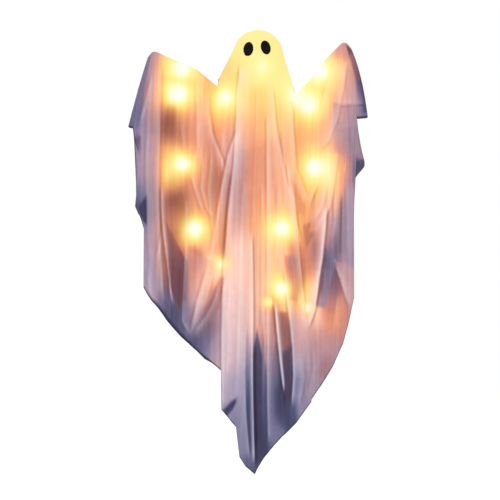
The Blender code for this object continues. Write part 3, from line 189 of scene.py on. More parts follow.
def add_object(name, data):
    """A new object for this mesh, curve, light or camera, put in the scene."""
    made = bpy.data.objects.new(name, data)
    bpy.context.collection.objects.link(made)
    return made

print("helpers ready")

# %% [markdown]
# The light strings are insulated wire 1.8 mm thick. A wire hangs in the smoothest line that its
# fastenings allow, so each is a curve through a few known points: where it leaves the splitter,
# the ties on the arm, each lamp, and its last lamp. Three of them hang free inside the cloth.
# They are placed before the cloth, as the strings are strung before the ghost is dressed.

# %% The points that the wires pass, from the crown
WIRE_RADIUS, WIRE_STEP = 0.0009, 0.02
LEFT_ROUTE = (
    (-0.035, 0.0, -0.2083), (-0.035, 0.0, -0.2105), (-0.0378, -0.0022, -0.2142),
    (-0.0455, -0.0046, -0.2130), (-0.062, -0.0036, -0.2072), (-0.087, 0.0, -0.1855),
    (-0.120, 0.0, -0.1578), (-0.158, 0.0, -0.1262), (-0.180, 0.0, -0.1160),
    (-0.190, -0.0020, -0.1220), (-0.198, -0.0050, -0.1420), (-0.201, -0.0060, -0.1740),
    (-0.196, -0.0070, -0.2600), (-0.185, -0.0080, -0.3600), (-0.173, -0.0080, -0.4500),
    (-0.156, -0.0075, -0.5400), (-0.140, -0.0060, -0.5900), (-0.121, -0.0050, -0.6200),
)
RIGHT_ROUTE = (
    (0.035, 0.0, -0.2360), (0.035, 0.0, -0.2382), (0.0378, -0.0022, -0.2418),
    (0.0455, -0.0048, -0.2405), (0.060, -0.0036, -0.2335), (0.098, 0.0, -0.1948),
    (0.130, 0.0, -0.1626), (0.160, 0.0, -0.1323), (0.182, 0.0, -0.1100),
    (0.189, -0.0020, -0.1160), (0.182, -0.0050, -0.1460), (0.165, -0.0060, -0.1810),
    (0.153, -0.0070, -0.2070), (0.153, -0.0075, -0.2800), (0.166, -0.0080, -0.3750),
    (0.165, -0.0080, -0.4800), (0.157, -0.0080, -0.6000), (0.145, -0.0080, -0.7000),
    (0.137, -0.0080, -0.7500),
)
CENTRE_ROUTE = (
    (0.004, 0.0153, -0.2623), (0.004, 0.0153, -0.2750), (0.006, 0.0145, -0.2950),
    (0.018, -0.0020, -0.3300), (0.034, -0.0250, -0.3900), (0.048, -0.0440, -0.4600),
    (0.058, -0.0560, -0.5400), (0.060, -0.0600, -0.6200), (0.058, -0.0600, -0.7000),
    (0.048, -0.0600, -0.7330), (0.034, -0.0600, -0.7420),
)
HEAD_ROUTE = (
    (0.0, 0.0153, -0.2517), (0.0, 0.0148, -0.2420), (0.0, 0.0090, -0.2200),
    (0.0, 0.0042, -0.1950), (0.0, 0.0040, -0.1650), (0.0, 0.0040, -0.1360),
    (0.0, 0.0040, -0.1130), (0.0, 0.0040, -0.0900), (0.0, 0.0040, -0.0760),
)
LEAD_ROUTE = (
    (-0.004, 0.0165, -0.3347), (-0.004, 0.0165, -0.3250), (-0.0042, 0.0160, -0.3000),
    (-0.004, 0.0153, -0.2760), (-0.004, 0.0153, -0.2623),
)

# %% A smooth wire through its points
def smooth_route(route, step):
    """Points of a smooth line that passes through every point of the route, from the origin."""
    knots = [Vector(point) + CROWN for point in route]
    knots = [2 * knots[0] - knots[1], *knots, 2 * knots[-1] - knots[-2]]
    points = []
    for a, b, c, d in zip(knots, knots[1:], knots[2:], knots[3:]):
        steps = max(1, round((c - b).length / step))
        for i in range(steps):
            t = i / steps
            bend = 2 * b + (c - a) * t + (2 * a - 5 * b + 4 * c - d) * t**2
            points.append((bend + (3 * b - a - 3 * c + d) * t**3) / 2)
    return [*points, knots[-2]]


def wire_finish():
    """Soft dark insulation, a little uneven in colour and gloss."""
    made, tree, shader = finish_named("wire_insulation")
    mottle = noise(tree, place_of(tree), 220)
    shade = ramp(tree, mottle, ((0.3, paint(38, 44, 40)), (0.7, paint(66, 74, 68))))
    gloss = maths(tree, "MULTIPLY_ADD", mottle, 0.25, 0.3)
    set_sockets(tree, shader, Base_Color=shade, Roughness=gloss, IOR=1.46)
    return made


WIRE = wire_finish()


def hang_wire(name, route, node_name, body, step=WIRE_STEP):
    """The wire of one strand, as a round curve that stands for its node."""
    curve = bpy.data.curves.new(name, "CURVE")
    curve.dimensions, curve.bevel_depth = "3D", WIRE_RADIUS
    curve.bevel_resolution, curve.use_fill_caps = 3, True
    points = smooth_route(route, step)
    spline = curve.splines.new("POLY")
    spline.points.add(len(points) - 1)
    for slot, point in zip(spline.points, points):
        slot.co = (*point, 1)
    spline.use_smooth = True
    wire = add_object(name, curve)
    curve.materials.append(WIRE)
    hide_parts(node_name)
    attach(wire, body)
    length = sum((b - a).length for a, b in zip(points, points[1:]))
    print(name, len(points), "points", round(length, 4), "m")
    return wire, length, points[0]


LEFT_WIRE = hang_wire("left_arm_wire_string", LEFT_ROUTE, "left_arm_strand", "left_arm")
RIGHT_WIRE = hang_wire("right_arm_wire_string", RIGHT_ROUTE, "right_arm_strand", "right_arm")
CENTRE_WIRE = hang_wire("centre_wire_string", CENTRE_ROUTE, "centre_strand", "frame_and_head")
hang_wire("head_wire_string", HEAD_ROUTE, "head_strand", "frame_and_head", 0.01)
hang_wire("battery_wire", LEAD_ROUTE, "battery_lead", "frame_and_head", 0.005)

# %% [markdown]
# Each lamp is a grain of a light in a short moulded holder. Sixteen are alike, so one is modelled
# by hand and copied: a cylinder is the holder, its top face is inset and extruded to the neck,
# and the lens grows out of that with a rounded end. The lens faces get their own glowing finish.

# %% Finishes of a lamp
def moulded_finish(name, dark, light, roughness, grain=900):
    """Moulded plastic: a fine even grain and slight clouding."""
    made, tree, shader = finish_named(name)
    place = place_of(tree)
    shade = ramp(tree, noise(tree, place, 60), ((0.3, dark), (0.7, light)))
    fine = noise(tree, place, grain)
    rough = maths(tree, "MULTIPLY_ADD", fine, 0.16, roughness - 0.08)
    set_sockets(tree, shader, Base_Color=shade, Roughness=rough,
                Normal=bumped(tree, fine, 0.12, 0.0002))
    return made


def lens_finish():
    """A lit lens, clouded from amber to nearly white."""
    made, tree, shader = finish_named("lit_lens")
    grain = noise(tree, place_of(tree), 400)
    glow = ramp(tree, grain, ((0.3, paint(255, 214, 120)), (0.7, paint(255, 244, 200))))
    set_sockets(tree, shader, Base_Color=glow, Emission_Color=glow, Emission_Strength=2.2,
                Roughness=0.2)
    return made


HOLDER_RADIUS, HOLDER_LENGTH, LENS_RADIUS = 0.0031, 0.013, 0.0025
# how much narrower the lens gets at each extrusion, and how high it rises
LENS_STEPS = ((1.0, 0.0055), (0.86, 0.0016), (0.5, 0.0009))
HOLDER = moulded_finish("lamp_holder", paint(52, 50, 44), paint(72, 68, 60), 0.42)
LENS = lens_finish()
print("lamp finishes", HOLDER.name, LENS.name)

# %% Model one lamp by hand
def model_lamp():
    bpy.ops.mesh.primitive_cylinder_add(
        vertices=20, radius=HOLDER_RADIUS, depth=HOLDER_LENGTH, location=(0, 0, HOLDER_LENGTH / 2)
    )
    lamp = bpy.context.object
    bpy.ops.object.transform_apply(location=True)
    bpy.ops.object.mode_set(mode="EDIT")
    bpy.ops.mesh.select_mode(type="FACE")
    bpy.ops.mesh.select_all(action="DESELECT")
    bm = bmesh.from_edit_mesh(lamp.data)
    for face in bm.faces:
        if face.normal.z > 0.9:
            face.select_set(True)
    bm.select_flush_mode()
    bmesh.update_edit_mesh(lamp.data)
    bpy.ops.mesh.inset(thickness=HOLDER_RADIUS - LENS_RADIUS, depth=0)
    for share, height in LENS_STEPS:
        bpy.ops.mesh.extrude_region_move(TRANSFORM_OT_translate={"value": (0, 0, height)})
        bpy.ops.transform.resize(value=(share, share, 1))
    bpy.ops.mesh.select_all(action="SELECT")
    bpy.ops.mesh.normals_make_consistent(inside=False)
    bpy.ops.object.mode_set(mode="OBJECT")
    bevel = lamp.modifiers.new("soft_edges", "BEVEL")
    bevel.width, bevel.segments, bevel.limit_method = 0.0004, 2, "ANGLE"
    bpy.ops.object.modifier_apply(modifier="soft_edges")
    bpy.ops.object.shade_smooth_by_angle(angle=math.radians(40))
    lamp.data.materials.append(HOLDER)
    lamp.data.materials.append(LENS)
    for face in lamp.data.polygons:
        face.material_index = int(face.center.z > HOLDER_LENGTH + 0.0002)
    print("lamp", len(lamp.data.polygons), "faces")
    return lamp


PATTERN_LAMP = model_lamp()

# %% Seat a copy at every lamp's place
LAMP_SEATS = {
    "head": (HEAD_ROUTE, "frame_and_head", 1, ((6, (1, 0.25, 0.2)), (8, None))),
    "centre": (CENTRE_ROUTE, "frame_and_head", 3,
               ((6, (0.6, -0.6, 0)), (8, (0.6, -0.6, 0)), (10, None))),
    "left": (LEFT_ROUTE, "left_arm", 6,
             ((5, (0, 0, -1)), (9, (-1, 0, 0.2)), (11, (-1, 0, 0)), (13, (-1, -0.2, 0)),
              (15, (-1, -0.2, 0)), (17, None))),
    "right": (RIGHT_ROUTE, "right_arm", 12,
              ((5, (0, 0, -1)), (7, (0, 0, -1)), (12, (-1, 0, 0)), (14, (-1, 0, 0)),
               (18, None))),
}
# air between a lamp and its wire
SEAT_GAP = 0.0003


def seat_lamps():
    """Copies the lamp to each seat: on the wire's side, or at its end where no aim is given."""
    seated = {}
    for string, (route, body, first, seats) in LAMP_SEATS.items():
        knots = [Vector(point) for point in route]
        for number, (index, aim) in enumerate(seats, first):
            along = (knots[min(index + 1, len(knots) - 1)] - knots[index - 1]).normalized()
            if aim is None:
                aim, seat = (knots[-1] - knots[-2]).normalized(), SEAT_GAP
            else:
                aim = Vector(aim)
                aim = (aim - along * aim.dot(along)).normalized()
                seat = SEAT_GAP + WIRE_RADIUS
            mesh = PATTERN_LAMP.data.copy()
            turn = Vector((0, 0, 1)).rotation_difference(aim).to_matrix().to_4x4()
            mesh.transform(Matrix.Translation(knots[index] + CROWN + aim * seat) @ turn)
            lamp = add_object(f"lamp_{number:02d}", mesh)
            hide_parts(f"light_{number:02d}")
            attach(lamp, body)
            seated.setdefault(string, []).append(lamp)
    return seated


LAMPS = seat_lamps()
bpy.data.objects.remove(PATTERN_LAMP)
print("lamps", {string: len(lamps) for string, lamps in LAMPS.items()})

# %% [markdown]
# The three free strands hang as cords, and each one's real length is printed. A strand ends in
# its last lamp.

for string, (wire, length, exit_point) in (
    ("left", LEFT_WIRE), ("right", RIGHT_WIRE), ("centre", CENTRE_WIRE)
):
    print(string, "strand", round(length, 3), "m")

# %% [markdown]
# The gauze is sheer polyester, cut from a rectangle and torn or trimmed at the hem. Three pieces
# make the ghost: one falls over the head with an open side below each arm, and one is folded
# over each arm and round its hand. A cloth like this could be simulated, but the picture shows
# where its front hangs, so each sheet is laid down as many lines that fall from its top, and
# those lines are joined into one fine mesh. The back is hidden, so its depth and its hems are
# guessed. First come the few sizes that the lines share.

# %% Sizes of the cloth
DROP = 1.205
CLOTH_WALL = 0.0008
GLOBE_CLOTH_RADIUS = 0.0673338
GLOBE_Z = -0.0687338
PIVOT_X, UPPER_ARM, HAND_REACH, HAND_LOOP = 0.035, 0.168, 0.1144, 0.012
# from one wire of the hand's loop to the other, the room over the ridge, and between cloths
LOOP_STEP, RIDGE_ROOM, CLOTH_GAP = 0.0043, 0.0035, 0.0015
# half the arm's cloth across the ridge, and how far it falls there
WING_TOP_DEPTH, WING_TOP_DROP = 0.009, 0.006
# how far from straight sideways the head's cloth still reaches its full width
WIDEST_TURN = math.radians(36)

# Each side's own sizes: the left arm is bent at the elbow, the right one is straight.
SIDES = {
    -1: {
        "shoulder_z": -0.224, "rises": (40.0, 19.0), "width": 0.098, "bulge": 0.010,
        "lip": ((0, .0067), (.023, .018), (.07, 0)), "tip_reach": 0.0500, "straight": 1.0,
        "corner": 0.009, "peak": (0.009, 0.004), "lift": 0.0, "settle": 0.020,
        "skirt": ((.26, .0285), (.305, .031), (.325, .020), (.37, .0174), (.415, .020),
                  (.48, .0256), (.5, .0174), (.525, .001), (.545, -.004)),
        "front_hem": ((0, .785), (.25, .743), (.42, .718), (.58, .69), (.75, .655), (.92, .611),
                      (1, .58)),
        "back_hem": ((0, .775), (.3, .745), (.5, .705), (.75, .65), (.92, .609), (1, .58)),
        "tip_hem": ((0, .216), (.28, .222), (.36, .395), (.6, .43), (.75, .555), (1, .58)),
    },
    1: {
        "shoulder_z": -0.2524, "rises": (45.2, 45.2), "width": 0.096, "bulge": 0.003,
        "lip": ((0, -.004), (.027, .003), (.038, .0065), (.08, 0)), "tip_reach": 0.0475,
        "straight": 0.3, "corner": 0.0095, "peak": (0, 0), "lift": 0.008, "settle": 0.016,
        "skirt": ((.2, .012), (.25, .0133), (.315, .0214), (.36, .0323), (.372, .0323),
                  (.4, .0133), (.42, .001)),
        "front_hem": ((0, .88), (.17, .866), (.33, .838), (.5, .8), (.67, .757), (.83, .706),
                      (.92, .656), (1, .602)),
        "back_hem": ((0, .83), (.3, .80), (.6, .715), (.8, .66), (1, .602)),
        "tip_hem": ((0, .195), (.3, .2), (.45, .3), (.75, .335), (.9, .37), (1, .602)),
    },
}
print("cloth sizes ready")

# %% Curves that the lines follow
def ease(t):
    t = np.clip(t, 0, 1)
    return t * t * (3 - 2 * t)


def mix(a, b, t):
    return a + (b - a) * t


def read(table, place):
    """The value of a table at this place, along straight lines between its rows."""
    found = np.interp(place, [row[0] for row in table], [row[1] for row in table])
    return found if np.ndim(place) else float(found)


def arm_points(side):
    """Shoulder, elbow and the centre of the hand's loop of one bent wire arm."""
    size = SIDES[side]
    upper, fore = (math.radians(rise) for rise in size["rises"])
    shoulder = Vector((side * PIVOT_X, 0, size["shoulder_z"]))
    elbow = shoulder + UPPER_ARM * Vector((side * math.cos(upper), 0, math.sin(upper)))
    step = LOOP_STEP * Vector((side * math.sin(fore), 0, -math.cos(fore)))
    hand = elbow + HAND_REACH * Vector((side * math.cos(fore), 0, math.sin(fore))) + step / 2
    return shoulder, elbow, hand


def arm_height(side, x):
    """Height of a taut line over the arm and its hand, this far from the ghost's middle."""
    shoulder, elbow, hand = arm_points(side)
    to_hand = hand - elbow
    rise = math.atan2(to_hand.z, abs(to_hand.x)) + math.asin(HAND_LOOP / to_hand.length)
    if x <= abs(elbow.x):
        return mix(shoulder.z, elbow.z, (x - abs(shoulder.x)) / abs(elbow.x - shoulder.x))
    if x <= abs(hand.x) - HAND_LOOP * math.sin(rise):
        return elbow.z + (x - abs(elbow.x)) * math.tan(rise)
    return hand.z + math.sqrt(HAND_LOOP**2 - (x - abs(hand.x)) ** 2)


def ridge_cover(side):
    """How far above the arm's taut line its cloth has to pass."""
    upright = RIDGE_ROOM * math.hypot(WING_TOP_DEPTH, WING_TOP_DROP) / WING_TOP_DEPTH
    return upright / math.cos(math.radians(SIDES[side]["rises"][0]))


def rim_height(side, x, y):
    """Where the head's cloth passes over an arm, clear of the arm's own cloth."""
    size = SIDES[side]
    reach = math.hypot(abs(x) - PIVOT_X, y)
    reach = min(reach, (size["width"] + size["bulge"] - PIVOT_X) / math.cos(WIDEST_TURN))
    return arm_height(side, PIVOT_X + reach) + ridge_cover(side) + CLOTH_WALL + CLOTH_GAP

print("left hand", [round(v, 4) for v in arm_points(-1)[2]])

# %% A falling line of the head's cloth
DOME_ROWS, FLARE_ROWS, PANEL_ROWS = 26, 18, 150
PANEL_EDGE = math.radians(60)
EDGE_TUCK, TANGENT_SHARE = 0.17, 0.85
# depths at the rim, lower down and at the tail, and where they change, as shares of the drop
RIM_DEPTH, LOW_DEPTH, TAIL_DEPTH = 0.094, 0.108, 0.060
SWELL_START, SWELL_RUN, TAIL_START, TAIL_RUN = 0.13, 0.5, 0.72, 0.28
BODY_FOLD, BODY_FOLDS, BODY_FOLD_RUN, MAIN_FOLD_SHARE = 0.0085, 4, 0.28, 0.7
# the right side widens as it falls; both hems are shares of the drop, from left to right
RIGHT_HEM_WIDTH, SPREAD_START, SPREAD_RUN = 0.142, 0.3, 0.55
FRONT_HEM = ((-1, .85), (-.74, .877), (-.6, .889), (-.51, .956), (-.34, .979), (-.09, .995),
             (0, .979), (.1, .96), (.2, .946), (.45, .911), (.72, .88), (1, .832))
BACK_HEM = ((-1, .78), (-.5, .86), (-.1, .94), (.3, .90), (.7, .84), (1, .80))


def leave_angle(rim):
    """Angle down from the crown where cloth drawn to this rim leaves the globe: nearly where a
    straight line to the rim would just touch it."""
    out, up = math.hypot(rim[0], rim[1]), rim[2] - GLOBE_Z
    tangent = math.atan2(out, up) - math.acos(GLOBE_CLOTH_RADIUS / math.hypot(out, up))
    return mix(math.pi / 2, tangent, TANGENT_SHARE)


def body_line(place, front, edge_side=0):
    """place runs from -1 to 1 across the front or back, or from 0 to 1 round an open side."""
    if edge_side:
        size = SIDES[edge_side]
        angle = PANEL_EDGE + (math.pi - 2 * PANEL_EDGE) * place
        lip = read(size["lip"], 0)
        rim_x = size["width"] + mix(lip, size["bulge"], 4 * place * (1 - place))
        rim_x *= edge_side
        rim_y = -RIM_DEPTH * (1 - EDGE_TUCK) * (1 - 2 * place)
        dome = np.array((edge_side * math.sin(angle), -math.cos(angle), 0))
        rim = np.array((rim_x, rim_y, rim_height(edge_side, rim_x, rim_y)))
    else:
        side = -1 if place < 0 else 1
        width = SIDES[side]["width"]
        tuck = 1 - EDGE_TUCK * place**4
        dome = np.array((math.sin(PANEL_EDGE * place), front * math.cos(PANEL_EDGE * place), 0))
        lip = side * place**6
        rim_z = rim_height(side, width, RIM_DEPTH * (1 - EDGE_TUCK))
        rim_x = width * place + lip * read(SIDES[side]["lip"], 0)
        rim = np.array((rim_x, front * RIM_DEPTH * tuck, rim_z))
    angle = np.linspace(0, leave_angle(rim), DOME_ROWS + 1)[:, None]
    top = dome * GLOBE_CLOTH_RADIUS * np.sin(angle)
    top[:, 2] = GLOBE_Z + GLOBE_CLOTH_RADIUS * np.cos(angle[:, 0])
    t = np.arange(1, FLARE_ROWS + 1)[:, None] / FLARE_ROWS
    flare = mix(top[-1], rim, t)
    if edge_side:
        return np.concatenate((top, flare))
    hem = read(FRONT_HEM if front < 0 else BACK_HEM, place) * DROP
    drop = mix(-rim[2], hem, np.arange(1, PANEL_ROWS + 1) / PANEL_ROWS)
    share = drop / DROP
    wide = mix(width, RIGHT_HEM_WIDTH, ease((share - SPREAD_START) / SPREAD_RUN))
    x = (width if side < 0 else wide) * place + lip * read(SIDES[side]["lip"], drop + rim[2])
    deep = mix(RIM_DEPTH, LOW_DEPTH, ease((share - SWELL_START) / SWELL_RUN))
    deep = mix(deep, TAIL_DEPTH, ease((share - TAIL_START) / TAIL_RUN))
    phase = 0 if front < 0 else math.pi / 3
    wave = mix(math.cos(math.pi * BODY_FOLDS / 2 * place + 2 * phase + 1),
               math.cos(math.pi * BODY_FOLDS * place + phase), MAIN_FOLD_SHARE)
    y = deep * tuck + BODY_FOLD * ease((drop + rim[2]) / BODY_FOLD_RUN) * wave
    panel = np.stack((x * np.ones_like(drop), front * y, -drop), axis=1)
    return np.concatenate((top, flare, panel))

print("middle line", len(body_line(0.0, -1)), "points")

# %% A falling line of an arm's cloth
# rows lie closer at the top by this power
WING_ROWS, ROW_POWER = 120, 1.25
WING_INNER_X, WING_TIP_DROP = 0.090, 0.014
WING_FOLD, WING_FOLDS, WING_SPREAD_RUN = 0.0055, 3, 0.090
# how far the cloth stands off the arm, at the shoulder and at the hand
WING_SPREAD = (0.024, 0.040)
# where the cloth ends past the hand, in radii of its loop, and where its peak starts on the ridge
TIP_SHARE, PEAK_START, PEAK_RUN = 0.6, 0.85, 0.15
# drops over which the cloth slopes off the hand, its skirt opens, and it hangs free of the ridge
SLOPE_RUN, SKIRT_RUN, SETTLE_RUN = 0.19, 0.10, 0.20
# how far the inner edge swings in as it falls
SETTLE_BACK = 0.015
# where the skirt starts and ends on the way round the hand, as shares of a quarter turn
SKIRT_START, SKIRT_TURN, SKIRT_CLOSE = 0.20, 0.08, 0.4


def wing_line(side, share, heading, front):
    """share runs along the ridge from the shoulder to the hand. heading is 90 degrees where the
    line falls before or behind the arm, and less where it falls off the hand."""
    size = SIDES[side]
    hand = arm_points(side)[2]
    ridge_x = mix(WING_INNER_X, abs(hand.x) + TIP_SHARE * HAND_LOOP, share)
    ridge_z = arm_height(side, ridge_x) + ridge_cover(side)
    ridge_z += size["lift"] * math.sin(math.pi * share**1.4) ** 2
    peak = float(ease((share - PEAK_START) / PEAK_RUN))
    ridge_x += size["peak"][0] * peak
    ridge_z += size["peak"][1] * peak
    off_hand = math.cos(heading)
    turn = abs(heading) / (math.pi / 2)
    hems = size["front_hem"] if front < 0 else size["back_hem"]
    hem = read(hems, share) if share < 1 else read(size["tip_hem"], turn)
    first = mix(WING_TOP_DROP, WING_TIP_DROP, off_hand)
    drop = mix(first, hem * DROP + ridge_z, np.linspace(0, 1, WING_ROWS) ** ROW_POWER)
    spread = 1 - np.exp(-(drop - first) / WING_SPREAD_RUN)
    aside = mix(WING_TOP_DEPTH, mix(*WING_SPREAD, share), spread)
    slope = np.clip((drop - first) / SLOPE_RUN, 0, 1)
    away = mix(size["corner"], size["tip_reach"], mix(spread, slope, size["straight"]))
    if share == 1:
        skirt = read(size["skirt"], drop - ridge_z) * ease((drop - first) / SKIRT_RUN)
        skirt = skirt * min(1, (1 - turn) / SKIRT_CLOSE)
        away = mix(away * off_hand, skirt, float(ease((turn - SKIRT_START) / SKIRT_TURN)))
    else:
        away = 0.0
    path = share + (1 - turn if share == 1 else 0) / WING_FOLDS
    wave = math.cos(2 * math.pi * WING_FOLDS * (front * path if front > 0 else path) + 1)
    fold = WING_FOLD * (1 - np.exp(-drop / WING_SPREAD_RUN)) * wave
    settle = 1 - np.exp(-drop / SETTLE_RUN)
    x = ridge_x + size["settle"] * share * settle - SETTLE_BACK * (1 - share) ** 2 * settle
    x = side * (x + away + fold * off_hand * 0.3)
    y = front * (aside + fold) * math.sin(abs(heading))
    line = np.stack((x, y, ridge_z - drop), axis=1)
    return np.concatenate(([(side * ridge_x, 0, ridge_z)], line))

print("hand line", len(wing_line(-1, 1.0, 0.0, 1)), "points")

# %% [markdown]
# Real folds are what makes gauze look like gauze. In the picture each fold has one crisp edge
# that catches the light, a veil that fades away from that edge on one side, and a thin shadow on
# the other; that light and shadow are painted into the cloth's colour. They are written here as a
# maker would pin them: the pixels that the edge passes, how wide the veil is, how far it stands
# out, and how pale or dark the painted highlight and shade turn the cloth there.

# %% The folds, by the pixels that their edges pass
# points along the edge, width of the veil in pixels (on the right of an edge that runs down, or
# on the left when below 0), lift in millimetres, paleness as painted highlight (below 0 it is
# dark, as painted shade)
FOLDS = (
    # the head's cloth
    (((242, 62), (239, 92), (237, 130), (235, 163), (232, 188), (229, 213), (226, 257),
      (224, 290), (223, 330), (223, 410)), 5.0, 2.6, 0.44),
    (((239, 128), (229, 155), (222, 190), (216, 225), (211, 256)), 4.0, 1.8, 0.36),
    (((231, 168), (227, 200), (223, 240), (221, 264)), 3.4, -1.2, -0.20),
    (((244, 178), (242, 230), (240, 300), (238, 372)), 5.0, 2.4, 0.16),
    (((251, 232), (252, 300), (252, 380), (253, 430), (254, 466)), -1.3, 2.4, 0.58),
    (((256, 84), (255, 130), (253, 170), (251, 220), (249, 300)), -4.0, -2.0, -0.10),
    (((262, 182), (263, 250), (262, 335)), 2.0, 1.5, 0.18),
    (((268, 110), (268, 190), (268, 260), (268, 330), (268, 400), (269, 445)), 1.9, 1.8, 0.34),
    (((271, 84), (275, 128), (285, 178), (297, 228), (301, 246)), -2.8, 2.0, 0.28),
    (((287, 90), (291, 112), (295, 168), (309, 204)), -3.2, 2.0, 0.26),
    (((283, 96), (284, 140), (285, 190), (285, 220)), 1.6, 1.2, 0.12),
    (((275, 296), (278, 330), (281, 362), (285, 396)), 1.2, 1.6, 0.80),
    (((285, 268), (289, 305), (293, 345), (294, 375), (292, 408)), 2.0, 1.8, 0.50),
    (((279, 180), (278, 230), (277, 262)), 1.5, 1.0, 0.18),
    (((245, 322), (244, 370), (245, 410), (249, 460)), -5.0, 2.4, 0.34),
    (((256, 340), (256, 400), (257, 452)), -3.0, -2.4, -0.24),
    (((263, 300), (265, 340), (265, 372)), 3.0, 1.4, 0.24),
    (((283, 350), (285, 380), (284, 410)), 4.0, -2.0, -0.24),
    (((301, 352), (303, 380), (298, 410)), -3.0, 1.8, 0.18),
    (((313, 345), (314, 368), (309, 396)), 3.0, 1.4, 0.12),
    (((223, 410), (231, 402), (240, 396)), -3.5, 0.8, -0.50),
    # the left arm's cloth
    (((160, 62), (159, 120), (158, 180), (159, 240), (163, 300)), -3.6, 3.0, 0.30),
    (((152, 70), (148, 120), (147, 170), (148, 215), (150, 262)), 2.6, 1.8, 0.16),
    (((130, 123), (135, 126), (139, 127)), 1.2, 0.3, -1.00),
    (((140, 137), (136, 137), (134, 143), (139, 150)), 1.3, 0.4, -0.70),
    (((152, 76), (147, 100), (139, 127)), 2.0, 1.2, 0.26),
    (((152, 55), (165, 57), (180, 65), (197, 74), (213, 89)), -3.0, 0.0, 0.16),
    (((197, 76), (198, 110), (198, 150), (197, 165)), 2.4, 1.8, 0.26),
    (((208, 88), (208, 110), (211, 132), (216, 146), (222, 160), (224, 174)), -2.4, 2.0, 0.32),
    (((204, 100), (203, 140), (201, 170)), 1.6, 1.2, 0.14),
    (((197, 147), (192, 176), (200, 203), (207, 218)), 1.8, 1.8, 0.24),
    (((205, 152), (202, 188), (207, 208), (216, 220)), 1.6, 1.6, 0.24),
    (((212, 150), (209, 190), (211, 215), (214, 235)), 2.2, 1.6, 0.24),
    (((181, 118), (185, 150), (186, 180)), 2.2, 1.2, 0.12),
    (((186, 196), (187, 230), (186, 250), (183, 300), (183, 322), (192, 337)), 2.6, 1.8, 0.24),
    (((162, 182), (162, 205), (163, 223), (166, 247), (169, 275), (173, 306)), 1.3, 1.4, 0.42),
    (((163, 226), (160, 246), (156, 263)), 1.3, 0.8, 0.28),
    (((165, 250), (169, 280), (177, 306)), 3.2, -1.6, -0.22),
    (((180, 262), (180, 318)), 3.0, -1.6, -0.16),
    (((210, 262), (203, 286), (197, 307), (191, 333)), 3.0, 2.0, 0.40),
    (((222, 276), (215, 300), (207, 316), (192, 337)), 2.2, 1.6, 0.24),
    (((216, 262), (210, 290), (203, 318)), 3.0, -1.6, -0.16),
    (((148, 262), (149, 285), (156, 312)), 2.4, 1.4, 0.12),
    # the right arm's cloth
    (((296, 93), (312, 78), (328, 60), (341, 46)), -3.0, 0.0, 0.12),
    (((338, 56), (331, 76), (325, 95), (320, 122)), 2.6, 1.8, 0.20),
    (((346, 60), (342, 90), (336, 120), (328, 140), (316, 152)), -3.2, 2.2, 0.24),
    (((357, 104), (358, 122), (361, 146), (364, 160)), 1.2, 0.3, -0.34),
    (((333, 101), (342, 104), (352, 103), (363, 104)), 5.0, 0.8, 0.22),
    (((333, 104), (331, 130), (331, 150)), 6.0, 1.0, 0.16),
    (((327, 170), (325, 190), (322, 206), (311, 226)), -3.0, 2.4, 0.32),
    (((337, 150), (333, 180), (329, 206), (316, 232)), -3.2, 2.0, 0.24),
    (((291, 180), (295, 216), (299, 262), (303, 304), (306, 332)), -2.6, 1.8, 0.28),
    (((312, 178), (313, 200), (309, 222)), 4.0, -1.6, -0.12),
    (((336, 190), (335, 215), (333, 240)), 2.0, 1.4, 0.20),
    (((326, 206), (324, 232), (322, 256), (318, 280), (314, 308), (306, 331)), -2.6, 2.4, 0.70),
    (((327, 248), (324, 272), (319, 300)), 5.0, -2.0, -0.26),
    (((342, 188), (341, 225), (339, 262)), -4.0, -0.6, -0.20),
    (((287, 160), (290, 190), (296, 214)), 1.8, 1.2, 0.36),
    (((319, 176), (314, 190), (307, 207)), -1.8, 1.2, 0.36),
    (((334, 262), (340, 276), (346, 294), (351, 310)), 2.2, 1.8, 0.36),
    (((347, 180), (348, 215), (348, 260)), 2.6, 1.6, 0.14),
    (((341, 196), (341, 235), (340, 262)), 2.2, -1.4, -0.12),
    (((352, 128), (354, 146), (356, 160)), 2.2, 1.0, 0.12),
    (((339, 290), (336, 312), (333, 336)), 3.0, 1.4, 0.12),
)
print("folds pinned", len(FOLDS))
